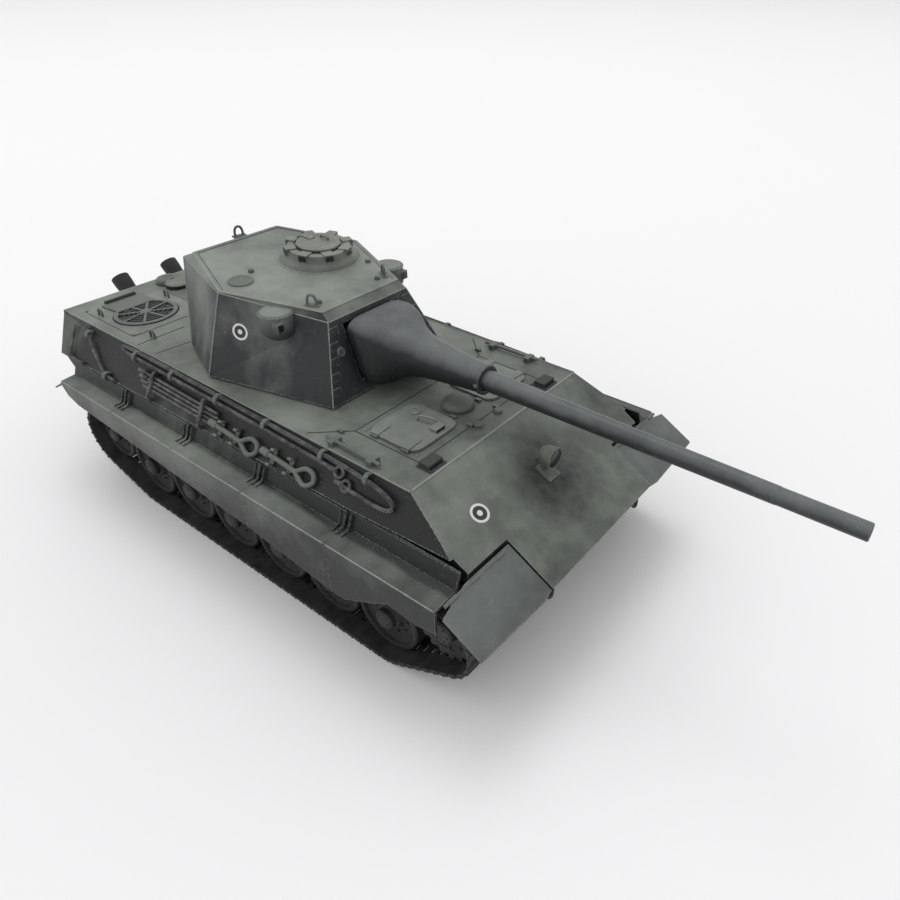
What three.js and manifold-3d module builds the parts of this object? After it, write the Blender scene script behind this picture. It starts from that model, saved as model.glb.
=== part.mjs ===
// Radio-controlled heavy tank at 1/16 scale: hull, turret, gun and running gear as separate pieces.
// Millimetres, +X towards the muzzle, +Y to the tank's left, +Z up, tracks standing on Z = 0.
import * as THREE from 'three';
import { mergeVertices } from 'three/addons/utils/BufferGeometryUtils.js';
import Module from 'manifold-3d';

const wasm = await Module();
wasm.setup();

// ---------------------------------------------------------------- driving dimensions
const GAP = 0.4;                 // clearance between neighbouring pieces
const GRID = 1000;               // points are kept to 1/1000 mm so that shared ones match
const SHEET = 1.4;               // thickness of the skirts and mudguards
const WALL = 2.2;                // moulded hull and turret walls

const DECK_Z = 117.3;            // top of the hull
const DECK_HALF = 82.4;          // half width of the deck
const DECK_FRONT = 152.6;        // front edge of the deck, top of the glacis
const DECK_REAR = -231;          // rear edge of the deck
const SIDE_Z = 95.4;             // foot of the sloping hull side
const SIDE_FOOT = [[-260, 104.4], [115, 97.2], [201, 92.9], [260, 89.8]];   // its half width along X
const SPONSON_STEP = 2.2;        // upright wall behind the skirts, this far in from the foot
const SPONSON_Z = 83;            // underside of the sponsons
const STEP_X = 200.4;            // notch in the glacis where the mudguard hinges
const NOSE_X = 233.4;            // nose, where the two bow plates meet
const NOSE_Z = 70.4;
const NOSE_HALF = 57.2;
const TUB_HALF = 56;             // half width of the lower hull between the tracks
const BELLY_Z = 28;
const GLACIS_SLOPE = (DECK_Z - NOSE_Z) / (NOSE_X - DECK_FRONT);

const RIDGE_HALF = 117.5;        // widest line of the skirts
const RIDGE_Z = 83.6;
const LEDGE_Z = (y) => RIDGE_Z + (RIDGE_HALF - y) * 0.087;
const FOLD_OUT = 4.3;            // the skirts' inner fold, this far out from the hull side
const SKIRT_X = [STEP_X - 0.2, 114.9, 37.5, -38.2, -113.3, -186];
const SKIRT_FOOT = [[200, 67], [186, 64.4], [175, 65.4], [164, 66.4], [149, 58], [133, 50],
  [126, 46.2], [114.9, 46.5], [37.5, 55.3], [-38.2, 60.2], [-113.3, 65.3], [-168, 68.4],
  [-181, 72.5], [-187, 80]];

const RING_X = -31;              // turret ring axis
const RING_RADIUS = 55;
const TURRET_FOOT = DECK_Z + 1.7;
const ROOF_SLOPE = 0.0687;       // the roof falls towards the gun
const GUN_Z = 146.2;             // bore axis
const MUZZLE_X = 372.4;
const BORE_CLEAR = 7.2;          // hole through the mantlet for the barrel

const AXLE_END = 67;              // outer end of the axle stubs, just short of the hubs
const TRACK_IN = 62;             // inner edge of the track
const TRACK_OUT = 113;
const TRACK_THICK = 4.6;
const WHEEL_RADIUS = 24.4;
const WHEEL_COUNT = 6;
const WHEEL_FIRST_X = 144;
const WHEEL_PITCH = 50.4;
const SPROCKET = { x: 192, z: 51.5, radius: 22.5 };
const IDLER = { x: -155, z: 39.5, radius: 21 };

const TAIL_X = -259.53;          // rearmost point, the exhaust mouths
const CENTRE_X = (MUZZLE_X + TAIL_X) / 2;

const COLOUR = {
  body: [0x75796f, 0.72, 0.05],
  turret: [0x686e68, 0.72, 0.05],
  barrel: [0x4e5658, 0.6, 0.1],
  track: [0x1c1c1b, 0.65, 0.5],
  wheel: [0x2c2f2c, 0.75, 0.1],
  black: [0x1b1918, 0.8, 0.1],
  steel: [0x85888a, 0.4, 0.9],
  cable: [0x53575a, 0.5, 0.7],
  board: [0x1f5a35, 0.55, 0.1],
  battery: [0x24324a, 0.5, 0.0],
  case: [0x3a3a3c, 0.6, 0.0],
};

// ---------------------------------------------------------------- building blocks
/** A closed three.js geometry as a solid that can be joined and cut. */
function solid(geometry) {
  const bare = geometry.index ? geometry.toNonIndexed() : geometry.clone();
  for (const name of Object.keys(bare.attributes)) {
    if (name !== 'position') bare.deleteAttribute(name);
  }
  const points = bare.attributes.position;
  for (let i = 0; i < points.array.length; i += 1) {
    points.array[i] = Math.round(points.array[i] * GRID) / GRID;
  }
  const merged = mergeVertices(bare, 0.5 / GRID);
  const index = [];
  for (let i = 0; i < merged.index.count; i += 3) {
    const [a, b, c] = [merged.index.getX(i), merged.index.getX(i + 1), merged.index.getX(i + 2)];
    if (a !== b && b !== c && c !== a) index.push(a, b, c);
  }
  return new wasm.Manifold(new wasm.Mesh({
    numProp: 3,
    vertProperties: new Float32Array(merged.attributes.position.array),
    triVerts: new Uint32Array(index),
  }));
}

const join = (...parts) => parts.reduce((sum, part) => sum.add(part));
const cut = (body, ...tools) => tools.reduce((rest, tool) => rest.subtract(tool), body);

/** Vertices and triangles of a solid as a three.js geometry. */
function geometryOf(body) {
  const { vertProperties, triVerts, numProp } = body.getMesh();
  const geometry = new THREE.BufferGeometry();
  const points = new Float32Array((vertProperties.length / numProp) * 3);
  for (let i = 0; i < points.length / 3; i += 1) {
    for (let k = 0; k < 3; k += 1) points[3 * i + k] = vertProperties[numProp * i + k];
  }
  geometry.setAttribute('position', new THREE.BufferAttribute(points, 3));
  geometry.setIndex(new THREE.BufferAttribute(new Uint32Array(triVerts), 1));
  geometry.computeVertexNormals();
  return geometry;
}

const box = (x0, x1, y0, y1, z0, z1) => solid(
  new THREE.BoxGeometry(x1 - x0, y1 - y0, z1 - z0)
    .translate((x0 + x1) / 2, (y0 + y1) / 2, (z0 + z1) / 2),
);

const shapeOf = (points) => new THREE.Shape(points.map(([a, b]) => new THREE.Vector2(a, b)));

/** An outline in X and Y carried up from z0 to z1. */
function prismZ(points, z0, z1) {
  return solid(new THREE.ExtrudeGeometry(shapeOf(points), { depth: z1 - z0, bevelEnabled: false })
    .translate(0, 0, z0));
}

/** An outline in X and Z carried across from y0 to y1. */
function prismY(points, y0, y1) {
  return solid(new THREE.ExtrudeGeometry(shapeOf(points), { depth: y1 - y0, bevelEnabled: false })
    .rotateX(Math.PI / 2).translate(0, y1, 0));
}

/** An outline in Y and Z carried along from x0 to x1. */
function prismX(points, x0, x1) {
  return solid(new THREE.ExtrudeGeometry(shapeOf(points), { depth: x1 - x0, bevelEnabled: false })
    .rotateX(Math.PI / 2).rotateZ(Math.PI / 2).translate(x0, 0, 0));
}

/** A body of revolution from [radius, height] pairs, turned onto an axis and set at a point. */
function turned(profile, axis, at, segments = 32) {
  const points = profile.map(([r, h]) => new THREE.Vector2(r, h));
  const geometry = new THREE.LatheGeometry(points, segments);
  if (axis === 'z') geometry.rotateX(Math.PI / 2);
  if (axis === 'x') geometry.rotateZ(-Math.PI / 2);
  return solid(geometry.translate(...at));
}

const disc = (axis, radius, from, to, at, segments) => turned(
  [[0, from], [radius, from], [radius, to], [0, to]], axis, at, segments,
);

/** A skin over rings of equally many points, closed at both ends. */
function loft(rings) {
  const count = rings[0].length;
  const points = rings.flat();
  const faces = [];
  for (let i = 0; i + 1 < rings.length; i += 1) {
    for (let k = 0; k < count; k += 1) {
      const [a, b] = [i * count + k, i * count + ((k + 1) % count)];
      faces.push(a, b, b + count, a, b + count, a + count);
    }
  }
  const last = (rings.length - 1) * count;
  for (let k = 1; k + 1 < count; k += 1) {
    faces.push(0, k + 1, k, last, last + k, last + k + 1);
  }
  const geometry = new THREE.BufferGeometry();
  geometry.setAttribute('position', new THREE.Float32BufferAttribute(points.flat(), 3));
  geometry.setIndex(faces);
  return solid(geometry);
}

/** A round bar along a smooth curve through the given points. */
function bar(points, radius, steps, sides = 8) {
  const path = new THREE.CatmullRomCurve3(points.map((p) => new THREE.Vector3(...p)), false, 'centripetal');
  const ring = [];
  for (let k = 0; k < sides; k += 1) {
    const angle = (k / sides) * 2 * Math.PI;
    ring.push([radius * Math.cos(angle), radius * Math.sin(angle)]);
  }
  return solid(new THREE.ExtrudeGeometry(shapeOf(ring), { steps, extrudePath: path, bevelEnabled: false }));
}

/** A straight round bar between two points. */
function rod(from, to, radius, sides = 8) {
  const [a, b] = [new THREE.Vector3(...from), new THREE.Vector3(...to)];
  const length = a.distanceTo(b);
  const turn = new THREE.Quaternion().setFromUnitVectors(
    new THREE.Vector3(0, 1, 0), b.clone().sub(a).normalize(),
  );
  return solid(new THREE.CylinderGeometry(radius, radius, length, sides)
    .applyQuaternion(turn).translate(...a.add(b).multiplyScalar(0.5).toArray()));
}

const tank = new THREE.Group();
tank.position.x = -CENTRE_X;

function add(name, body, [colour, roughness, metalness]) {
  const material = new THREE.MeshStandardMaterial({ color: colour, roughness, metalness });
  const mesh = new THREE.Mesh(geometryOf(body), material);
  mesh.name = name;
  tank.add(mesh);
}

/** The same piece on both sides: the one made for y < 0, and its mirror image. */
function addPair(name, body, colour) {
  add(`${name}_right`, body, colour);
  add(`${name}_left`, body.mirror([0, 1, 0]), colour);
}

// ---------------------------------------------------------------- hull
const glacisZ = (x) => DECK_Z - GLACIS_SLOPE * (x - DECK_FRONT);
const glacisX = (z) => DECK_FRONT + (DECK_Z - z) / GLACIS_SLOPE;

/** Outline of the upper hull from the side, drawn in by a wall thickness. */
function hullProfile(inset, floor) {
  const top = DECK_Z - inset;
  return [[DECK_REAR + 1.4 * inset, top], [DECK_REAR + 25 + 1.1 * inset, SIDE_Z],
    [DECK_REAR + 36 + 1.1 * inset, floor], [glacisX(floor + 1.2 * inset), floor],
    [glacisX(top + 1.2 * inset), top]];
}

/** Half width of the hull side's foot, which draws in towards the bow. */
function sideFoot(x) {
  const next = SIDE_FOOT.findIndex(([at]) => at >= x);
  const [[x0, y0], [x1, y1]] = [SIDE_FOOT[next - 1], SIDE_FOOT[next]];
  return y0 + ((y1 - y0) * (x - x0)) / (x1 - x0);
}

/** Upper hull along X: sloping sides over upright sponson walls, drawn in by a wall thickness. */
function hullBlock(inset, floor) {
  return evenSides(loft([-259, 115, 201, 259].map((x) => {
    const foot = sideFoot(x);
    const half = [[foot - SPONSON_STEP - inset, floor], [foot - SPONSON_STEP - inset, SIDE_Z - 0.1],
      [foot - 1.3 * inset, SIDE_Z], [DECK_HALF - 1.1 * inset, DECK_Z - inset]];
    return [...half, ...half.map(([y, z]) => [-y, z]).reverse()].map(([y, z]) => [x, y, z]);
  })));
}

/** The bow: a wedge between the two nose plates, open underneath. */
function bow() {
  const wedge = prismY([[190, glacisZ(190)], [NOSE_X, NOSE_Z], [NOSE_X - 2, NOSE_Z - 3.5],
    [190, NOSE_Z - 3.5]], -NOSE_HALF, NOSE_HALF);
  const hollow = prismY([[180, glacisZ(180) - 2.6], [NOSE_X - 6, glacisZ(NOSE_X - 6) - 2.6],
    [NOSE_X - 6, 50], [180, 50]], -NOSE_HALF + WALL, NOSE_HALF - WALL);
  return [wedge, hollow];
}

function upperHull() {
  const outside = hullBlock(0, SPONSON_Z).intersect(prismY(hullProfile(0, SPONSON_Z), -120, 120));
  const inside = hullBlock(WALL, SPONSON_Z - 5)
    .intersect(prismY(hullProfile(WALL, SPONSON_Z - 5), -120, 120))
    .intersect(box(-250, STEP_X - WALL, -120, 120, 60, 130));
  const notch = (side) => prismY([[STEP_X, 60], [STEP_X, 130], [260, 130], [260, 60]],
    side > 0 ? NOSE_HALF : -130, side > 0 ? 130 : -NOSE_HALF);
  const [wedge, hollow] = bow();
  const shell = join(cut(outside, inside), wedge);
  return cut(
    shell,
    hollow,
    notch(1),
    notch(-1),
    disc('z', RING_RADIUS, 100, 130, [RING_X, 0, 0], 48),
    deckOpening(1),
    deckOpening(-1),
    accessOpening(),
    engineOpening(),
  );
}

const HATCH = { x0: 91, x1: 131.5, y0: 15.5, y1: 56.5 };
const FAN = { x: -174, y: 45.5, radius: 24 };
const ENGINE_COVER = { x0: -214, x1: -143, half: 74 };

/** Round-cornered rectangle as an outline, four points to a corner. */
function roundedBox(x0, x1, y0, y1, radius) {
  const corners = [[x1 - radius, y1 - radius, 0], [x0 + radius, y1 - radius, 1],
    [x0 + radius, y0 + radius, 2], [x1 - radius, y0 + radius, 3]];
  return corners.flatMap(([cx, cy, quarter]) => [0, 1, 2, 3].map((k) => {
    const angle = (quarter + k / 3) * (Math.PI / 2);
    return [cx + radius * Math.cos(angle), cy + radius * Math.sin(angle)];
  }));
}

const hatchOutline = (side, grow) => roundedBox(
  HATCH.x0 - grow,
  HATCH.x1 + grow,
  side > 0 ? HATCH.y0 - grow : -HATCH.y1 - grow,
  side > 0 ? HATCH.y1 + grow : -HATCH.y0 + grow,
  7 + grow,
);

/** Hole in the deck under each crew hatch. */
function deckOpening(side) {
  return prismZ(hatchOutline(side, -3), 100, 130);
}

/** Shallow seat for the ventilator dome. */
function accessOpening() {
  return disc('z', 7, 110, 130, [116, 0, 0], 24);
}

/** Outline of the lift-off engine cover, grown by a clearance for its opening. */
const coverOutline = (grow) => roundedBox(
  ENGINE_COVER.x0 - grow,
  ENGINE_COVER.x1 + grow,
  -ENGINE_COVER.half - grow,
  ENGINE_COVER.half + grow,
  6 + grow,
);

/** Hole for the engine cover. */
function engineOpening() {
  return prismZ(coverOutline(GAP), 100, 130);
}

function lowerHull() {
  const tub = prismY([[-196, SPONSON_Z - GAP], [-200, 70], [-176, BELLY_Z], [196, BELLY_Z],
    [228, NOSE_Z - 4.4], [190, NOSE_Z - 4.4], [188, SPONSON_Z - GAP]], -TUB_HALF, TUB_HALF);
  const flange = box(-194, 186, -94, 94, SPONSON_Z - GAP - 1.8, SPONSON_Z - GAP);
  const hollow = prismY([[-193.6, SPONSON_Z + 10], [-197.4, 70], [-174, BELLY_Z + WALL],
    [195, BELLY_Z + WALL], [222, NOSE_Z - 7], [222, SPONSON_Z + 10]],
  -TUB_HALF + WALL, TUB_HALF - WALL);
  const stations = [[IDLER.x, IDLER.z], ...[...Array(WHEEL_COUNT).keys()]
    .map((k) => [WHEEL_FIRST_X - k * WHEEL_PITCH, WHEEL_RADIUS + TRACK_THICK])];
  const stubs = stations.flatMap(([x, z]) => [
    disc('y', 4.5, -AXLE_END, -TUB_HALF + 1, [x, 0, z], 8),
    disc('y', 4.5, TUB_HALF - 1, AXLE_END, [x, 0, z], 8),
  ]);
  return cut(
    join(cut(join(tub, flange), hollow), ...stubs),
    disc('y', 6, -70, 70, [SPROCKET.x, 0, SPROCKET.z], 16),
    prismZ(roundedBox(-60, 60, -30, 30, 4), 20, 40),
    box(90, 98, -3, 3, 20, 40),
  );
}

add('upper_hull', upperHull(), COLOUR.body);
add('lower_hull', lowerHull(), COLOUR.body);

// ---------------------------------------------------------------- engine deck and exhausts
function engineCover() {
  const plate = prismZ(coverOutline(0), DECK_Z - WALL, DECK_Z + 0.3);
  const cap = turned([[0, -1], [9.6, -1], [10.6, 0], [10.6, 4], [9.6, 4.8], [0, 4.8]], 'z',
    [ENGINE_COVER.x0 + 13, 0, DECK_Z], 24);
  const holes = [-1, 1].map((side) => disc('z', FAN.radius + GAP, 100, 130, [FAN.x, side * FAN.y, 0], 32));
  return cut(join(plate, cap), ...holes);
}
add('engine_cover', engineCover(), COLOUR.body);

/** Round fan grille: rim, one middle ring and a hub on three arms. */
function fanGrille() {
  const at = [FAN.x, -FAN.y, DECK_Z];
  const ring = (outer, inner, low, high) => turned(
    [[inner, low], [outer, low], [outer, high], [inner, high], [inner, low]], 'z', at, 24,
  );
  const arms = [0, 1, 2].map((k) => box(-FAN.radius + 1, FAN.radius - 1, -0.9, 0.9, -1.6, -0.2)
    .rotate([0, 0, 60 * k + 20]).translate(at));
  return join(
    ring(FAN.radius, FAN.radius - 2.6, -2.2, 1.4),
    ring(FAN.radius - 5, FAN.radius - 7, -2, 0.8),
    disc('z', FAN.radius - 11, -2, 1.2, at, 16),
    ...arms,
  );
}
addPair('fan_grille', fanGrille(), COLOUR.body);

/** Exhaust pipe: out of the rear plate, up behind the deck and leaning back. */
function exhaust() {
  const y = -22.5;
  const outer = bar([[-214, y, 88], [-227, y, 92.5], [-240, y, 104.5], [-255, y, 119.5]], 6.4, 7, 14);
  const bore = rod([-243, y, 107.5], [-259, y, 123.5], 4.8, 14);
  const plate = prismY([[-200, 140], [-231.4 + 0.8, 117.3], [-206.4, 95.4], [-195.4, SPONSON_Z],
    [-150, SPONSON_Z], [-150, 140]].map(([x, z]) => [x - GAP, z]), y - 20, y + 20);
  return cut(outer, bore, plate);
}
addPair('exhaust', exhaust(), COLOUR.black);

// ---------------------------------------------------------------- skirts and mudguards
/** One skirt panel: ledge against the hull side, fender top and hanging face, in one sheet. */
function skirt(index) {
  const [front, rear] = [SKIRT_X[index], SKIRT_X[index + 1]];
  const foot = 40;
  const side = sideFoot(rear) - 1.2;
  const fold = [side + FOLD_OUT + 0.6, LEDGE_Z(side + FOLD_OUT + 0.6)];
  const section = [[side + 1, 94.6], [side - 0.5, 94.6], [fold[0] - 1.2, fold[1] - SHEET],
    [RIDGE_HALF - SHEET, RIDGE_Z - SHEET], [RIDGE_HALF + 1.1 - SHEET, foot], [RIDGE_HALF + 1.1, foot],
    [RIDGE_HALF, RIDGE_Z], fold];
  const panel = prismX(section.map(([y, z]) => [-y, z]).reverse(), rear + GAP / 2, front - GAP / 2);
  const middle = (front + rear) / 2;
  const hanger = box(middle - 5, middle + 5, -RIDGE_HALF, -RIDGE_HALF + 3.6, 66, 83);
  const below = prismY([[SKIRT_X.at(-1) - 3, 0], [SKIRT_X[0] + 3, 0], [SKIRT_X[0] + 3, 67.5], ...SKIRT_FOOT],
    -130, -90);
  const trimmed = cut(join(panel, hanger), below);
  if (index < SKIRT_X.length - 2) return trimmed;
  const tail = prismY([[-184, 83.4], [-204.6, 71.2], [-204.6, 70], [-184, 82]], -116.6, -109);
  return join(trimmed, tail);
}
for (let i = 0; i + 1 < SKIRT_X.length; i += 1) {
  const panel = skirt(i);
  add(`skirt_right_${i + 1}`, panel, COLOUR.body);
  add(`skirt_left_${i + 1}`, panel.mirror([0, 1, 0]), COLOUR.body);
}

const FLAP_DROP = 1.4;           // the mudguard lies this far below the glacis surface
const FLAP_HINGE = [202.3, glacisZ(202.3) - FLAP_DROP - 1.2];

/** Mudguard: a flat plate filling the notch, on a hinge roll along its rear edge. */
function mudguard() {
  const outline = [[202, -57.8], [202, -96], [207, -118.9], [231.8, -118.9], [233.6, -66], [232.4, -57.8]];
  const slab = prismY([[190, glacisZ(190)], [245, glacisZ(245)], [245, glacisZ(245) - SHEET],
    [190, glacisZ(190) - SHEET]].map(([x, z]) => [x, z - FLAP_DROP]), -130, -50);
  const roll = rod([FLAP_HINGE[0], -94, FLAP_HINGE[1]], [FLAP_HINGE[0], -60, FLAP_HINGE[1]], 1.2, 10);
  return join(prismZ(outline, 40, 120).intersect(slab), roll);
}
addPair('mudguard', mudguard(), COLOUR.body);

// ---------------------------------------------------------------- hatches and fittings on the hull
/** Crew hatch: a plate with round corners resting on the deck round its opening. */
function crewHatch(side) {
  const lid = prismZ(hatchOutline(side, 0), DECK_Z + 0.3, DECK_Z + 1.9);
  const spigot = prismZ(hatchOutline(side, -3.6), DECK_Z - 1.2, DECK_Z + 1);
  const periscope = box(122, 128, side * 30 - 4, side * 30 + 4, DECK_Z + 1, DECK_Z + 4);
  return join(lid, spigot, periscope);
}
add('radio_hatch', crewHatch(-1), COLOUR.body);
add('driver_hatch', crewHatch(1), COLOUR.body);

add('ventilator', turned([[0, -2], [6.6, -2], [6.6, 0.4], [11, 0.4], [11, 2], [9.6, 4.6], [6, 6], [0, 6.4]],
  'z', [116, 0, DECK_Z], 24), COLOUR.body);

/** Headlight: lamp on a bracket that stands on the glacis. */
function headlight() {
  const x = 188;
  const foot = glacisZ(x) + 0.35;
  const lamp = turned([[0, -6], [4, -6], [7.2, -2], [7.2, 5], [6.4, 5], [6.4, 3], [0, 3]], 'x',
    [x + 1, 0, foot + 13], 20);
  const post = prismX([[-3, foot - 5], [3, foot - 5], [3, foot + 8], [-3, foot + 8]], x - 2, x + 2);
  const base = prismY([[x - 7, 0], [x + 7, 0], [x + 7, 1.6], [x - 7, 1.6]]
    .map(([px, rise]) => [px, glacisZ(px) + 0.35 + rise]), -6, 6);
  const under = prismY([[150, glacisZ(150) + 0.35], [230, glacisZ(230) + 0.35], [230, 40], [150, 40]], -20, 20);
  return cut(join(lamp, post, base), under);
}
add('headlight', headlight(), COLOUR.body);

/** A point off the right hull side: t runs from the deck edge (0) to the foot (1). */
function sidePoint(x, t, lift) {
  const [run, fall] = [sideFoot(x) - DECK_HALF, DECK_Z - SIDE_Z];
  const length = Math.hypot(run, fall);
  return [x, -(DECK_HALF + run * t + (fall / length) * lift), DECK_Z - fall * t + (run / length) * lift];
}

const CABLE_RADIUS = 1.3;
const CABLE_LIFT = CABLE_RADIUS + GAP;
const CABLE_ROUTE = [[104, 0.56], [117, 0.6], [130, 0.63], [141, 0.62], [146, 0.52], [143, 0.38], [133, 0.27],
  [118, 0.2], [98, 0.16], [60, 0.13], [4, 0.1], [-48, 0.08], [-98, 0.07], [-128, 0.08], [-138, 0.13],
  [-128, 0.2], [-98, 0.22], [-48, 0.24], [4, 0.26], [60, 0.3], [96, 0.33]];
addPair('tow_cable', bar(CABLE_ROUTE.map(([x, t]) => sidePoint(x, t, CABLE_LIFT)), CABLE_RADIUS, 44, 6),
  COLOUR.cable);

/** Cleaning rods strapped to the hull side under two posts. */
function toolRack() {
  const rods = [0.42, 0.52, 0.62, 0.72].map((t, k) => rod(
    sidePoint(-106 + 4 * k, t, 1.6),
    sidePoint(-14 + 2 * k, t + 0.06, 1.6),
    1,
    6,
  ));
  const posts = [-89, -30].map((x) => rod(sidePoint(x, 0.34, 2.6), sidePoint(x + 4, 0.95, 2.6), 1.3, 6));
  return join(...rods, ...posts);
}
addPair('tool_rack', toolRack(), COLOUR.steel);

// ---------------------------------------------------------------- inside the hull
const FLOOR_Z = BELLY_Z + WALL + GAP;
add('battery_pack', prismZ(roundedBox(-57, 57, -24, 24, 5), FLOOR_Z, 58), COLOUR.battery);
add('battery_cover', prismZ(roundedBox(-60 + GAP, 60 - GAP, -30 + GAP, 30 - GAP, 3.6), BELLY_Z, BELLY_Z + 2),
  COLOUR.body);

function controlBoard() {
  const board = box(-152, -82, -34, 34, 62, 63.6);
  const chips = [[-140, -20, 14, 12, 3], [-118, 12, 10, 10, 2.4], [-100, -14, 16, 20, 5], [-134, 16, 8, 18, 8]]
    .map(([x, y, w, d, h]) => box(x - w / 2, x + w / 2, y - d / 2, y + d / 2, 63, 63.6 + h));
  const legs = [[-149, -31], [-149, 31], [-85, -31], [-85, 31]]
    .map(([x, y]) => disc('z', 2, FLOOR_Z, 62.5, [x, y, 0], 10));
  return join(board, ...chips, ...legs);
}
add('control_board', controlBoard(), COLOUR.board);

/** Drive gearbox: case, motor can and the output shaft that carries the sprocket. */
function gearbox() {
  const housing = box(150, 193, -53, -8, FLOOR_Z + 0.4, 72);
  const motor = disc('y', 12, -50, -10, [142, 0, 50], 20);
  const shaft = disc('y', 5, -66, -50, [SPROCKET.x, 0, SPROCKET.z], 16);
  const boss = disc('y', 8, -53, -40, [SPROCKET.x - 3, 0, SPROCKET.z], 16);
  return join(housing, motor, shaft, boss);
}
addPair('gearbox', gearbox(), COLOUR.case);

add('speaker', turned([[0, 0], [12, 0], [12, 6], [20, 8], [20, 11], [17, 11], [4, 8.5], [0, 8.5]], 'z',
  [-136, 0, FLOOR_Z], 24), COLOUR.case);

add('power_switch', join(
  box(90.4, 94.4, -2.4, 2.4, BELLY_Z - 1.4, BELLY_Z + WALL + GAP + 0.5),
  box(84, 102, -5, 5, BELLY_Z + WALL + GAP, BELLY_Z + WALL + 3),
), COLOUR.case);

// ---------------------------------------------------------------- turret
const roofZ = (x) => 173.8 - ROOF_SLOPE * (x - 34.7);
const TURRET_PLAN = {
  foot: [[56, 52.6], [-43.6, 75.6], [-93, 56.6]],
  shoulder: [[40.5, 34.6], [-34.6, 60], [-107, 38.5]],
  roof: [[34.7, 33.2], [-34.3, 59.3], [-97.8, 35.8]],
};

/** Six-sided ring of the turret, drawn in towards its middle and set at a height. */
function turretRing(half, inset, height) {
  const right = half.map(([x, y]) => {
    const reach = Math.hypot(x - RING_X, y);
    const scale = (reach - inset) / reach;
    return [RING_X + (x - RING_X) * scale, y * scale];
  });
  const plan = [...right, ...right.map(([x, y]) => [x, -y]).reverse()];
  return plan.map(([x, y]) => [x, y, height(x)]);
}

/** The half of a body at y < 0 joined to its own mirror image. */
function evenSides(body) {
  const right = body.intersect(box(-300, 300, -200, 0, 0, 300));
  return join(right, right.mirror([0, 1, 0]));
}

/** The turret's outer shape, grown by a negative inset and carried up past the roof. */
function turretBody(inset, above) {
  const shoulder = (x) => roofZ(x) - (Math.abs(x + 35) > 60 ? 4.8 : 0.9);
  return evenSides(loft([
    turretRing(TURRET_PLAN.foot, inset, () => TURRET_FOOT),
    turretRing(TURRET_PLAN.shoulder, inset, shoulder),
    turretRing(TURRET_PLAN.roof, inset, (x) => roofZ(x) + above),
  ]));
}

function turretShell() {
  const outside = turretBody(0, 0);
  const inside = evenSides(loft([
    turretRing(TURRET_PLAN.foot, WALL + 1.2, () => TURRET_FOOT + WALL),
    turretRing(TURRET_PLAN.roof, WALL + 1.4, (x) => roofZ(x) - WALL - (x > 20 ? 3 : 0)),
  ]));
  return cut(
    outside,
    inside,
    disc('z', RING_RADIUS - 4, 110, 130, [RING_X, 0, 0], 40),
    box(20, 80, -24.6, 24.6, GUN_Z - 20, GUN_Z + 18.5),
    disc('z', 18, 150, 200, [CUPOLA.x, CUPOLA.y, 0], 24),
  );
}

const CUPOLA = { x: -31, y: 21, foot: 28.6, top: 22.6, height: 10 };
add('turret_shell', turretShell(), COLOUR.turret);

/** Traverse ring: turns in the deck opening and carries the turret. */
const ringProfile = [[42, -12], [50.4, -12], [53.8, -10], [53.8, 1.2], [50, 1.2], [50, -5], [42, -5], [42, -12]];
add('turret_ring', turned(ringProfile, 'z', [RING_X, 0, DECK_Z], 36), COLOUR.case);

/** Commander's cupola: a low cone with eight periscope heads round its top. */
function cupola() {
  const { x, y, foot, top, height } = CUPOLA;
  const sink = 4;
  const cone = turned([[0, -sink], [foot + 0.6, -sink], [foot, 0], [top, height - 2], [top - 1, height], [0, height]],
    'z', [0, 0, 0], 28);
  const heads = [...Array(8).keys()].map((k) => box(top - 5.5, top + 1.6, -3.6, 3.6, height - 4.2, height + 1)
    .rotate([0, 0, 45 * k + 22.5]));
  const bore = disc('z', 14.6, -20, 30, [0, 0, 0], 24);
  const tilt = Math.atan(ROOF_SLOPE) * (180 / Math.PI);
  const whole = cut(join(cone, ...heads), bore).rotate([0, tilt, 0]).translate([x, y, roofZ(x)]);
  const roofCut = prismY([[-150, roofZ(-150) + GAP], [90, roofZ(90) + GAP], [90, 100], [-150, 100]], -100, 100);
  return cut(whole, roofCut);
}
add('cupola', cupola(), COLOUR.turret);

/** Cupola hatch: a round lid over the bore of the cupola. */
function cupolaHatch() {
  const { x, y, height } = CUPOLA;
  const tilt = Math.atan(ROOF_SLOPE) * (180 / Math.PI);
  return turned([[0, -1.6], [14.1, -1.6], [14.1, GAP], [15.6, GAP], [15.6, 1.6], [14.8, 2.2], [0, 2.6]], 'z',
    [0, 0, height], 28).rotate([0, tilt, 0]).translate([x, y, roofZ(x)]);
}
add('cupola_hatch', cupolaHatch(), COLOUR.turret);

/** Rangefinder head: a round-bottomed drum let into the turret side under the roof. */
function rangefinder() {
  const drum = turned([[0, -20], [5, -19.2], [8.6, -16.4], [10.8, -11.5], [11, -2], [10.2, 0], [0, 0]], 'z',
    [8.5, -49, roofZ(8.5) - 1.6], 24);
  const body = turretBody(-1.2 * GAP, 12);
  return cut(drum, body, box(13, 30, -59, -51, roofZ(8.5) - 11.5, roofZ(8.5) - 6.5));
}
addPair('rangefinder', rangefinder(), COLOUR.turret);

// ---------------------------------------------------------------- gun
/** Ring of the mantlet: from a rounded box (square 1) to a circle (square 0), leaning by shear. */
function mantletRing(x, halfY, halfUp, halfDown, square, shear) {
  const count = 28;
  const ring = [];
  for (let k = 0; k < count; k += 1) {
    const angle = (k / count) * 2 * Math.PI;
    const power = 2 / (2 + 3.2 * square);
    const [c, s] = [Math.cos(angle), Math.sin(angle)];
    const y = halfY * Math.sign(c) * Math.abs(c) ** power;
    const up = (s > 0 ? halfUp : halfDown) * Math.sign(s) * Math.abs(s) ** power;
    ring.push([x - shear * up, y, GUN_Z + up]);
  }
  return ring;
}

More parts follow.
